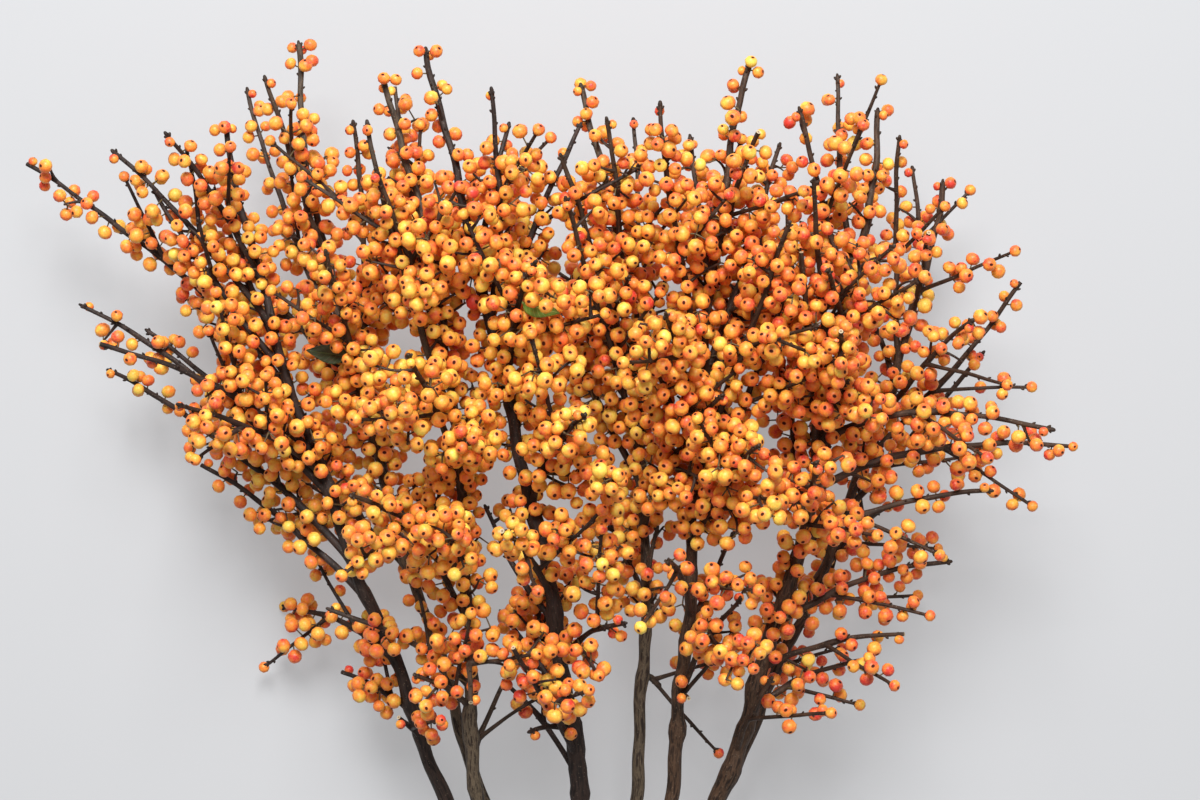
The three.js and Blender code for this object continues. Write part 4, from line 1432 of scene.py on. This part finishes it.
def copies_tree() -> NodeTree:
    """A tree that sets a turned and scaled copy of an object on each point.

    The points carry axis and size; any other attribute of theirs goes on to the copies.

    Returns:
        The tree.
    """
    sockets = {
        "Shape": "NodeSocketObject", "Finish": "NodeSocketMaterial", "Unevenness": "NodeSocketFloat",
        "Seed": "NodeSocketInt",
    }
    tree, add, given = new_tree("copies on points", sockets)
    axis = add("GeometryNodeInputNamedAttribute", {"Name": "axis"}, data_type="FLOAT_VECTOR")
    size = add("GeometryNodeInputNamedAttribute", {"Name": "size"}, data_type="FLOAT")
    aligned = add("FunctionNodeAlignRotationToVector", {"Vector": axis}, axis="Z")
    spin = add(
        "FunctionNodeRandomValue", {2: 0.0, 3: 2 * math.pi, "Seed": given.outputs["Seed"]}, data_type="FLOAT"
    )
    about = add("FunctionNodeAxisAngleToRotation", {"Axis": (0.0, 0.0, 1.0), "Angle": spin})
    turned = add(
        "FunctionNodeRotateRotation", {"Rotation": aligned, "Rotate By": about}, rotation_space="LOCAL"
    )
    low = add("ShaderNodeMath", {0: 1.0, 1: given.outputs["Unevenness"]}, operation="SUBTRACT")
    lows = add("ShaderNodeCombineXYZ", {0: low, 1: low, 2: low})
    squash = add(
        "FunctionNodeRandomValue", {0: lows, 1: (1.0, 1.0, 1.0), "Seed": given.outputs["Seed"]},
        data_type="FLOAT_VECTOR",
    )
    scale = add("ShaderNodeVectorMath", {0: squash, "Scale": size}, operation="SCALE")
    shape = add("GeometryNodeObjectInfo", {"Object": given.outputs["Shape"]}).outputs["Geometry"]
    copies = add(
        "GeometryNodeInstanceOnPoints",
        {"Points": given.outputs["Geometry"], "Instance": shape, "Rotation": turned, "Scale": scale},
    )
    real = add("GeometryNodeRealizeInstances", {"Geometry": copies})
    smooth = add("GeometryNodeSetShadeSmooth", {"Geometry": real})
    dressed = add("GeometryNodeSetMaterial", {"Geometry": smooth, "Material": given.outputs["Finish"]})
    add("NodeGroupOutput", {0: dressed})
    return tree


@dataclass(frozen=True)
class RoundShape:
    """A closed shape round Z, of radius about 1, which is copied. Its rings are angles from its top pole."""

    name: str
    rings: tuple[float, ...]
    sides: int
    squash: float  # height against width
    profile: Callable[[float], float]  # the distance from the middle at an angle from the top pole

    def make(self) -> Object:
        """Builds the shape.

        Returns:
            Its object. Its points carry pole, from 0 at the top to 1 at the bottom, and the grain.
        """
        points = [(0.0, 0.0, self.profile(0.0) * self.squash)]
        poles = [0.0]
        for angle in self.rings:
            radius = self.profile(angle) * math.sin(angle)
            height = self.profile(angle) * math.cos(angle) * self.squash
            for side in range(self.sides):
                turn = side / self.sides * 2 * math.pi
                points.append((radius * math.cos(turn), radius * math.sin(turn), height))
                poles.append(angle / math.pi)
        points.append((0.0, 0.0, -self.profile(math.pi) * self.squash))
        poles.append(1.0)
        mesh = bpy.data.meshes.new(self.name)
        mesh.from_pydata(points, [], self.faces(len(points) - 1))
        set_attributes(mesh, {"pole": np.array(poles), "grain": np.array(points) * (GRAIN_REACH * MM)})
        return mesh_object(self.name, mesh)

    def faces(self, last: int) -> list[tuple[int, ...]]:
        """The faces: a fan at each pole and bands between the rings.

        Args:
            last: the number of the bottom pole's point.

        Returns:
            The faces, as numbers of points.
        """
        sides = self.sides
        faces: list[tuple[int, ...]] = [(0, 1 + side, 1 + (side + 1) % sides) for side in range(sides)]
        for start in range(1, last - sides, sides):
            for side in range(sides):
                after = (side + 1) % sides
                faces.append((start + side, start + sides + side, start + sides + after, start + after))
        start = last - sides
        return faces + [(last, start + (side + 1) % sides, start + side) for side in range(sides)]


EYE_DIMPLE = (0.09, 0.2)  # depth of a berry's dimple as a share of its radius, and the angle it covers
STALK_DIMPLE = (0.07, 0.3)
BUD_WIDTH = 0.62  # of a bud, against its reach to its top
BUD_POINT = 6  # how sharply it narrows


def berry_profile(angle: float) -> float:
    """A berry's distance from its middle: round, with a dimple at its eye and at its stalk."""
    eye = EYE_DIMPLE[0] * math.exp(-((angle / EYE_DIMPLE[1]) ** 2))
    foot = STALK_DIMPLE[0] * math.exp(-(((math.pi - angle) / STALK_DIMPLE[1]) ** 2))
    return 1.0 - eye - foot


def bud_profile(angle: float) -> float:
    """A bud's distance from its middle: an egg that narrows towards its top."""
    return BUD_WIDTH + (1 - BUD_WIDTH) * math.cos(angle / 2) ** BUD_POINT


def point_cloud(name: str, points: Array, attributes: Mapping[str, Array]) -> Object:
    """An object of loose points with attributes.

    Args:
        name: the object's name.
        points: the points, in the layout.
        attributes: for each name, a number or a vector for each point.

    Returns:
        The object.
    """
    mesh = bpy.data.meshes.new(name)
    mesh.from_pydata(in_frame(points).tolist(), [], [])
    set_attributes(mesh, attributes)
    return mesh_object(name, mesh)


def set_attributes(mesh: Mesh, attributes: Mapping[str, Array]) -> None:
    """Gives a mesh's points their attributes.

    Args:
        mesh: the mesh.
        attributes: for each name, a number, a whole number or a vector for each point.
    """
    for name, values in attributes.items():
        if values.ndim == 2:
            mesh.attributes.new(name, "FLOAT_VECTOR", "POINT").data.foreach_set("vector", values.ravel())
        else:
            kind = "INT" if values.dtype.kind == "i" else "FLOAT"
            mesh.attributes.new(name, kind, "POINT").data.foreach_set("value", values)


def lay_on_surface(mesh: Mesh) -> None:
    """Flattens what would reach under the surface that the bunch lies on."""
    points = np.zeros(len(mesh.vertices) * 3, np.float32)
    mesh.vertices.foreach_get("co", points)
    points[2::3] = np.maximum(points[2::3], 0)
    mesh.vertices.foreach_set("co", points)
    mesh.update()


def finish_piece(name: str, mesh: Mesh, node: str) -> None:
    """Turns a mesh into a finished piece that stands for a CAD node.

    Args:
        name: the piece's name.
        mesh: its mesh, in the part's frame.
        node: the CAD node.
    """
    lay_on_surface(mesh)
    mesh.name = name
    piece = mesh_object(name, mesh)
    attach(piece, "root")
    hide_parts(node)
    triangles = sum(len(polygon.vertices) - 2 for polygon in mesh.polygons)
    LOG.info("%s: %d triangles", name, triangles)


@dataclass(frozen=True)
class Ripening:
    """How far berries have turned from yellow (0) to red (1), by where they hang, in millimetres."""

    middle: float = 0.53
    right: float = 0.07  # how much riper the right of the bunch is
    right_from: Pair = (20.0, 250.0)
    low: float = 0.08  # how much further towards red the berries at the bunch's foot are
    low_from: Pair = (20.0, 110.0)
    heart: float = 0.13  # how much paler the berries are in one part
    heart_at: Pair = (-60.0, 175.0)
    heart_reach: Pair = (150.0, 100.0)
    small: float = 0.4  # what a small berry adds, for the share that it falls short of a full one
    limb_spread: float = 0.2  # between the berries of one twig and of another
    spread: float = 0.5  # between berries of one twig
    ends: Pair = (0.02, 0.96)  # the palest and the ripest of them
    lemon: Pair = (0.02, 0.04)  # share of the berries that have stayed yellow, and their tone
    red: Pair = (0.0015, 1.0)  # and of the ones that are all red
    row: int = 9  # berries that are taken to hang on one twig

    def tone(self, berry: Berry, limb_draw: float, draw: Draw) -> float:
        """The tone of a berry.

        Args:
            berry: the berry.
            limb_draw: a number that the berries of one limb share.
            draw: a stream of numbers.

        Returns:
            The tone, from 0 for yellow to 1 for red.
        """
        x, y = berry.centre[0], berry.centre[1]
        (heart_x, heart_y), (reach_x, reach_y) = self.heart_at, self.heart_reach
        tone = self.middle + self.right * float(np.interp(x, self.right_from, (0, 1)))
        tone -= self.heart * math.exp(-(((x - heart_x) / reach_x) ** 2) - ((y - heart_y) / reach_y) ** 2)
        tone += self.low * float(np.interp(y, self.low_from, (1, 0)))
        tone += self.small * (1 - berry.radius / BERRY_RADIUS)
        tone += (limb_draw - 0.5) * self.limb_spread
        tone += (draw() + draw() + draw() - 1.5) / 1.5 * self.spread / 2
        chance = draw()
        if chance < self.red[0]:
            return self.red[1]
        if chance < self.red[0] + self.lemon[0]:
            return self.lemon[1]
        return float(np.clip(tone, *self.ends))

    def tones(self, berries: Iterable[Berry], draw: Draw) -> Array:
        """The tones of the berries of a branch, which come in rows that share some of theirs.

        Args:
            berries: the berries.
            draw: a stream of numbers.

        Returns:
            The tones.
        """
        tones = []
        limb_draw = draw()
        for index, berry in enumerate(berries):
            if index % self.row == 0:
                limb_draw = draw()
            tones.append(self.tone(berry, limb_draw, draw))
        return np.array(tones)


@dataclass
class WoodPieces:
    """The wood of each branch: stem, shoots, twigs, spurs and berry stalks. Sizes in millimetres."""

    bunch: Bunch
    kinds: tuple[BarkKind, ...] = (
        BarkKind.WET, BarkKind.FURROWED, BarkKind.FURROWED, BarkKind.WET, BarkKind.FURROWED, BarkKind.WARM,
        BarkKind.WARM, BarkKind.WARM,
    )
    ages: tuple[float, ...] = (1.0, 0.35, 0.1, 0.0)  # how old the bark looks at each rank's root
    younger: float = 0.6  # share of its age that it loses up to the tip
    relief: float = 0.32  # height of the bark's bumps against the wood's radius
    relief_size: float = 9.0
    shift: float = 97.0  # along the bark's pattern from one limb to the next, so that no two look the same
    stalk_radii: Pair = (0.55, 0.42)
    stalk_run: float = 3.0
    stalk_end: float = 0.8  # share of the berry's radius at which it goes into the berry

    def __post_init__(self) -> None:
        """Prepares the tree and the finishes."""
        self.tree = tube_tree()
        self.barks = {kind: Bark(kind).make() for kind in BarkKind}
        self.cut_wood = CutWood().make()
        self.stalk = Stalk().make()

    def parts(self, branch: int) -> list[dict[str, Array]]:
        """The limbs of a branch, and then the stalks of its berries.

        Args:
            branch: which branch.

        Returns:
            For each, its path and what its points carry.
        """
        parts = []
        for number, limb in enumerate(self.bunch.limbs):
            if limb.branch == branch:
                sawn = np.zeros(len(limb.path))
                sawn[0], sawn[-1] = limb.cut_root, limb.cut_tip
                parts.append({
                    "path": limb.path, "girth": limb.girth * MM, "run": (limb.run + number * self.shift) * MM,
                    "age": self.ages[limb.rank.value] * (1 - self.younger * limb.run / limb.length),
                    "sawn": sawn, "rank": np.full(len(limb.path), limb.rank.value, np.int32),
                })
        carried = {
            "girth": np.array(self.stalk_radii) * MM, "run": np.array([0.0, self.stalk_run]) * MM,
            "age": np.zeros(2), "sawn": np.zeros(2), "rank": np.full(2, Rank.STALK.value, np.int32),
        }
        for berry in self.bunch.berries:
            if berry.branch == branch and berry.node is not None:
                end = berry.centre + unit(berry.node - berry.centre) * berry.radius * self.stalk_end
                parts.append({"path": np.array([berry.node, end]), **carried})
        return parts

    def paths(self, branch: int) -> Object:
        """The paths of a branch, as an object with an edge for each step.

        Args:
            branch: which branch.

        Returns:
            The object.
        """
        parts = self.parts(branch)
        edges, first = [], 0
        for part in parts:
            after = first + len(part["path"])
            edges.extend((point, point + 1) for point in range(first, after - 1))
            first = after
        carried = {name: np.concatenate([part[name] for part in parts]) for name in parts[0]}
        mesh = bpy.data.meshes.new("paths")
        mesh.from_pydata(in_frame(carried.pop("path")).tolist(), edges, [])
        set_attributes(mesh, carried)
        return mesh_object("paths", mesh)

    def build(self) -> None:
        """Makes the piece of each branch."""
        for branch in range(len(BRANCHES)):
            values = {
                **SIDES, "Relief": self.relief, "Relief size": self.relief_size * MM,
                "Bark": self.barks[self.kinds[branch]], "Cut wood": self.cut_wood, "Stalk": self.stalk,
            }
            mesh = grow_mesh(self.paths(branch), self.tree, values)
            finish_piece(f"branch_{branch + 1}_wood", mesh, f"branch_{branch + 1}")


@dataclass(frozen=True)
class BudHabit:
    """How the buds sit on the wood, in millimetres, radians and shares."""

    tip_size: Pair = (2.0, 2.5)
    beside: int = 3  # smaller buds round the one at a tip
    beside_size: Pair = (1.5, 2.0)
    beside_turn: float = 2.1
    beside_out: float = 0.8  # from the middle of the wood
    beside_back: Pair = (0.6, 2.2)  # from the tip
    beside_lean: float = 0.9  # towards the tip, against straight out
    size: Pair = (1.1, 1.5)  # of the buds along the wood
    first: float = 4.5  # from the tip to the first of them
    pitch: Pair = (4.0, 9.0)
    until: float = 0.6  # share of the wood, from its root, without them
    lean: float = 1.2
    unevenness: float = 0.2


class FruitPieces:
    """The berries and the buds of each branch."""

    BERRY = RoundShape("berry shape", (0.17, 0.5, 1.05, 1.6, 2.2, 2.8), 9, 0.92, berry_profile)
    BUD = RoundShape("bud shape", (0.5, 1.2, 2.1), 6, 1.5, bud_profile)
    UNEVENNESS = 0.09  # share by which a berry may be squashed, each way on its own

    def __init__(self, bunch: Bunch, ripening: Ripening, habit: BudHabit) -> None:
        """Prepares the tree and the shapes that are copied.

        Args:
            bunch: the bunch to draw.
            ripening: how the berries' tone goes.
            habit: how the buds sit.
        """
        self.bunch = bunch
        self.ripening = ripening
        self.habit = habit
        self.tree = copies_tree()
        self.skin = BerrySkin().make()
        self.berry = self.BERRY.make()
        self.bud = self.BUD.make()

    def berries(self, branch: int) -> Mesh:
        """The berries of one branch.

        Args:
            branch: which branch.

        Returns:
            Their mesh.
        """
        berries = [berry for berry in self.bunch.berries if berry.branch == branch]
        cloud = point_cloud("berry points", np.array([berry.centre for berry in berries]), {
            "axis": np.array([berry.axis for berry in berries]),
            "size": np.array([berry.radius for berry in berries]) * MM,
            "tone": self.ripening.tones(berries, stream(Seed.TONES, branch)),
        })
        values = {"Shape": self.berry, "Finish": self.skin, "Unevenness": self.UNEVENNESS, "Seed": branch}
        return grow_mesh(cloud, self.tree, values)

    def buds(self, branch: int, bark: Material) -> Mesh:
        """The buds at the tips of one branch and beside them.

        Args:
            branch: which branch.
            bark: the finish of the twigs.

        Returns:
            Their mesh.
        """
        draw = stream(Seed.BUDS, branch)
        buds = []
        for limb in self.bunch.limbs:
            if limb.branch == branch and limb.rank is not Rank.SPUR:
                buds += self.limb_buds(limb, draw)
        points, axes, sizes = (np.array(column) for column in zip(*buds))
        carried = {"axis": axes, "size": sizes * MM, "age": np.zeros(len(buds))}
        cloud = point_cloud("bud points", points, carried)
        values = {"Shape": self.bud, "Finish": bark, "Unevenness": self.habit.unevenness, "Seed": branch}
        return grow_mesh(cloud, self.tree, values)

    def limb_buds(self, limb: Limb, draw: Draw) -> list[tuple[Array, Array, float]]:
        """The buds at the tip of a limb, unless it was cut off, and along its outer part.

        Args:
            limb: the limb.
            draw: a stream of numbers.

        Returns:
            The place, the direction and the size of each.
        """
        habit = self.habit
        buds = []
        if not limb.cut_tip:
            point, direction, _ = limb.place(1.0)
            buds.append((point, direction, between(habit.tip_size, draw)))
            for side in range(habit.beside):
                out = radial_at(direction, side * habit.beside_turn + draw())
                place = point + out * habit.beside_out - direction * between(habit.beside_back, draw)
                axis = unit(out + direction * habit.beside_lean)
                buds.append((place, axis, between(habit.beside_size, draw)))
        run, turn = limb.length - habit.first, draw() * FIRST_TURNS
        while run > limb.length * habit.until:
            point, direction, radius = limb.place(run / limb.length)
            out = radial_at(direction, turn)
            buds.append((point + out * radius, unit(out + direction * habit.lean), between(habit.size, draw)))
            run -= between(habit.pitch, draw)
            turn += GOLDEN_TURN
        return buds

    def build(self, barks: Iterable[Material]) -> None:
        """Makes the pieces of each branch.

        Args:
            barks: the finish of each branch's twigs.
        """
        for branch, bark in enumerate(barks):
            node = f"branch_{branch + 1}"
            finish_piece(f"{node}_berries", self.berries(branch), node)
            finish_piece(f"{node}_buds", self.buds(branch, bark), node)
        for shape in (self.berry, self.bud):
            remove_object(shape)


@dataclass(frozen=True)
class LeafSpot:
    """Where a leaf is: its foot, the way it points, the way its blade spans and its root on the shoot."""

    foot: Array
    along: Array
    span: Array
    root: Array

    @property
    def up(self) -> Array:
        """The way that the blade's upper side faces."""
        return cross(self.span, self.along)


def grid_faces(first: int, rows: int, columns: int) -> list[tuple[int, ...]]:
    """The faces of a grid whose points are numbered row by row.

    Args:
        first: the number of its first point.
        rows: how many rows of faces it has.
        columns: how many faces a row has.

    Returns:
        The faces.
    """
    across = columns + 1
    starts = [first + row * across + column for row in range(rows) for column in range(columns)]
    return [(start, start + 1, start + across + 1, start + across) for start in starts]


@dataclass(frozen=True)
class LeafPiece:
    """A leaf left on the branches: a thin blade folded along its rib, on a short stalk, in millimetres."""

    branch: int
    shoot: int
    at: float  # share of the shoot at which it grows
    turn: float  # round the shoot, in radians
    kind: LeafKind
    length: float = 27
    width: float = 13
    foot: float = 0.12  # width at the foot against the middle's
    fullest: float = 0.8  # the lower, the nearer to its foot it is widest
    roundness: float = 0.9  # the lower, the blunter its ends
    fold: float = 1.6
    droop: float = 3
    lift: float = 0.4
    wave: float = 0.25
    waves: Pair = (7, 9)  # radians of it across half the blade, and along it
    teeth: float = 11
    tooth: float = 0.05  # against the half width
    thickness: float = 0.45
    rows: int = 26
    columns: int = 10
    gap: float = 0.9  # from the shoot to the foot
    clearance: float = 6
    try_turn: float = 0.35
    slant: Pair = (0.85, 0.5)  # out from the shoot, and along it
    checked: tuple[float, ...] = (0.4, 0.52, 0.64, 0.76, 0.88, 1.0)  # shares of its length checked for room
    room: float = 3.2  # how far the fruit keeps off its rib
    rib_from: float = 2.0  # where along the rib that starts
    rib_points: int = 11
    gutter: tuple[Pair, ...] = ((-0.6, 0.25), (0.0, -0.15), (0.6, 0.25))  # the stalk's shape: across and up
    stalk_steps: int = 3

    def place(self, growth: Growth) -> LeafSpot:
        """Finds the leaf's place by the rule of the CAD source, and takes up its room.

        Args:
            growth: the grown wood.

        Returns:
            The place.
        """
        before = sum(len(plan.shoots) for plan in BRANCHES[: self.branch])
        host = growth.woods[growth.stem_count + before + self.shoot]
        direction = direction_at(host.controls, self.at)
        root = host.point_at(self.at)
        for attempt in range(BEND_TRIES):
            out = radial_at(direction, self.turn + attempt * self.try_turn)
            along = unit(out * self.slant[0] + direction * self.slant[1])
            foot = root + out * (host.radius_at(self.at) * THIN_WOOD_FACTOR + self.gap)
            blade = np.array([foot + along * (self.length * share) for share in self.checked])
            gaps = np.linalg.norm(blade[:, None, :] - growth.points[None, :, :], axis=2)
            if np.all(gaps > self.clearance + growth.radii[None, :] + AIR):
                growth.occupy(blade, np.full(len(blade), float(self.clearance)))
                return LeafSpot(foot, along, unit(cross(along, UP)), root)
        raise ValueError(f"no room for the leaf on branch {self.branch + 1}")

    def rib(self, spot: LeafSpot) -> Array:
        """Points along the rib, which the fruit keeps off."""
        return spot.foot + spot.along * np.linspace(self.rib_from, self.length, self.rib_points)[:, None]

    def half_width(self, share: float) -> float:
        """Half the blade's width at a share of its length, with its teeth."""
        round_part = math.sin(math.pi * share**self.fullest) ** self.roundness
        half = self.width / 2 * (self.foot * (1 - share) + (1 - self.foot) * round_part)
        return half * (1 + self.tooth * abs(math.sin(share * self.teeth * math.pi)))

    def blade(self, spot: LeafSpot) -> tuple[list[Array], list[Triple]]:
        """The points of the blade.

        Args:
            spot: the leaf's place.

        Returns:
            The points, row by row from the foot, and the place of each across and along the blade.
        """
        points, places = [], []
        for row in range(self.rows + 1):
            share = row / self.rows
            half = self.half_width(share)
            rib = spot.foot + spot.along * (self.length * share) - spot.up * (self.droop * share * share)
            for column in range(self.columns + 1):
                edge = column / self.columns * 2 - 1
                lift = self.lift + abs(edge) * self.fold * (half / (self.width / 2))
                lift += self.wave * math.sin(edge * self.waves[0] + share * self.waves[1])
                points.append(rib + spot.span * (half * edge) + spot.up * lift)
                places.append((edge, share, 0.0))
        return points, places

    def stalk(self, spot: LeafSpot) -> list[Array]:
        """The points of the stalk, a narrow gutter from the shoot to the blade's foot.

        Args:
            spot: the leaf's place.

        Returns:
            The points, row by row from the shoot.
        """
        end = spot.foot + spot.up * self.lift
        steps = np.arange(self.stalk_steps + 1) / self.stalk_steps
        middles = [spot.root + (end - spot.root) * step for step in steps]
        sides = [spot.span * across + spot.up * up for across, up in self.gutter]
        return [middle + side for middle in middles for side in sides]

    def build(self, number: int, spot: LeafSpot) -> None:
        """Makes the leaf.

        Args:
            number: the leaf's number.
            spot: its place.
        """
        points, places = self.blade(spot)
        faces = grid_faces(0, self.rows, self.columns)
        faces += grid_faces(len(points), self.stalk_steps, len(self.gutter) - 1)
        stalk = self.stalk(spot)
        mesh = bpy.data.meshes.new("leaf blade")
        mesh.from_pydata(in_frame(np.array(points + stalk)).tolist(), [], faces)
        set_attributes(mesh, {"blade": np.array(places + [(0.0, 0.0, 0.0)] * len(stalk))})
        mesh.shade_smooth()
        mesh.materials.append(LeafSkin(self.kind).make())
        raw = mesh_object("leaf blade", mesh)
        solid = raw.modifiers.new("thickness", "SOLIDIFY")
        solid.thickness = self.thickness * MM
        solid.offset = 0.0
        finish_piece(f"leaf_{number}_blade", baked_mesh(raw), f"leaf_{number}")


@dataclass(frozen=True)
class SquareLight:
    """A soft square light: its place, the length of its side in metres and its power in watts."""

    name: str
    place: Triple
    size: float
    power: float


@dataclass(frozen=True)
class Studio:
    """A pale floor that glows with painted light, soft light and a camera that looks straight down on the
    bunch. Metres.
    """

    look_at: Pair = (0.0371, 0.1433)
    middle_height: float = 0.13
    view_width: float = 0.78
    lens: float = 70.0
    sensor: float = 36.0
    floor_reach: float = 6.0
    floor_drop: float = 0.0004  # under the bunch, so that the two surfaces don't flicker
    floor_colour: str = "#8E8F91"
    floor_roughness: float = 0.9
    floor_glow_colour: str = "#FAFBFD"
    floor_glow: float = 0.33  # painted light: the floor glows though it is no lamp, which keeps the bunch's shadow on it as light as the backdrop that the floor stands for
    sky: str = "#F3F4F6"
    sky_strength: float = 0.28
    lit_height: float = 0.1  # what the lights face
    lights: tuple[SquareLight, ...] = (
        SquareLight("key light", (-0.05, 1.45, 2.0), 1.1, 88.0),
        SquareLight("fill light", (0.6, -0.5, 2.4), 1.6, 8.0),
    )

    def build(self) -> None:
        """Sets up the camera, the floor and the lights."""
        self.add_camera()
        self.add_floor()
        for light in self.lights:
            self.add_light(light)
        world = bpy.context.scene.world or bpy.data.worlds.new("studio")
        bpy.context.scene.world = world
        world.use_nodes = True
        background = world.node_tree.nodes["Background"]
        background.inputs["Color"].default_value = linear(self.sky)
        background.inputs["Strength"].default_value = self.sky_strength
        bpy.context.scene.view_settings.view_transform = "Standard"

    def add_camera(self) -> None:
        """Adds the camera, whose picture has the top of the fan at its top."""
        camera = bpy.data.cameras.new("camera")
        camera.lens = self.lens
        camera.sensor_width = self.sensor
        holder = bpy.data.objects.new("camera", camera)
        bpy.context.scene.collection.objects.link(holder)
        distance = self.view_width * self.lens / self.sensor
        holder.location = (*self.look_at, self.middle_height + distance)
        bpy.context.scene.camera = holder

    def add_floor(self) -> None:
        """Adds the floor, which glows with painted light so that the bunch's shadow on it stays pale."""
        mesh = bpy.data.meshes.new("floor")
        corner_signs = ((-1, -1), (1, -1), (1, 1), (-1, 1))
        points = [(x * self.floor_reach, y * self.floor_reach, -self.floor_drop) for x, y in corner_signs]
        mesh.from_pydata(points, [], [(0, 1, 2, 3)])
        material, add = new_material("matt pale floor with a painted glow")
        # The emission makes the floor glow though it is no lamp: painted light that lifts the bunch's shadow
        # on it.
        set_surface(add, {
            "Base Color": linear(self.floor_colour), "Roughness": self.floor_roughness,
            "Emission Color": linear(self.floor_glow_colour), "Emission Strength": self.floor_glow,
        })
        mesh.materials.append(material)
        mesh_object("floor", mesh)

    def add_light(self, plan: SquareLight) -> None:
        """Adds a light that faces the bunch.

        Args:
            plan: the light.
        """
        light = bpy.data.lights.new(plan.name, "AREA")
        light.shape = "SQUARE"
        light.size = plan.size
        light.energy = plan.power
        holder = bpy.data.objects.new(plan.name, light)
        holder.location = plan.place
        towards = Vector((*self.look_at, self.lit_height)) - Vector(plan.place)
        holder.rotation_euler = towards.to_track_quat("-Z", "Y").to_euler()
        bpy.context.scene.collection.objects.link(holder)


def main() -> None:
    """Builds the bunch and its studio."""
    logging.basicConfig(level=logging.INFO, format="%(message)s")
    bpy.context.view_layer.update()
    Studio().build()
    growth = Growth()
    leaves = (LeafPiece(3, 4, 0.7, 0.4, LeafKind.GREEN), LeafPiece(1, 1, 0.6, 2.9, LeafKind.DARK))
    spots = [leaf.place(growth) for leaf in leaves]
    growth.grow_berries()
    growth.add_inner_shoots()
    LOG.info("grown: %d lengths of wood, %d berries", len(growth.woods), len(growth.berries))
    ribs = [leaf.rib(spot) for leaf, spot in zip(leaves, spots)]
    bunch = Bunch(growth, FruitHabit(), WoodHabit(), ribs, leaves[0].room)
    LOG.info("drawn: %d limbs, %d berries", len(bunch.limbs), len(bunch.berries))
    wood = WoodPieces(bunch)
    wood.build()
    FruitPieces(bunch, Ripening(), BudHabit()).build([wood.barks[kind] for kind in wood.kinds])
    for number, (leaf, spot) in enumerate(zip(leaves, spots), 1):
        leaf.build(number, spot)


if __name__ == "__main__":
    main()
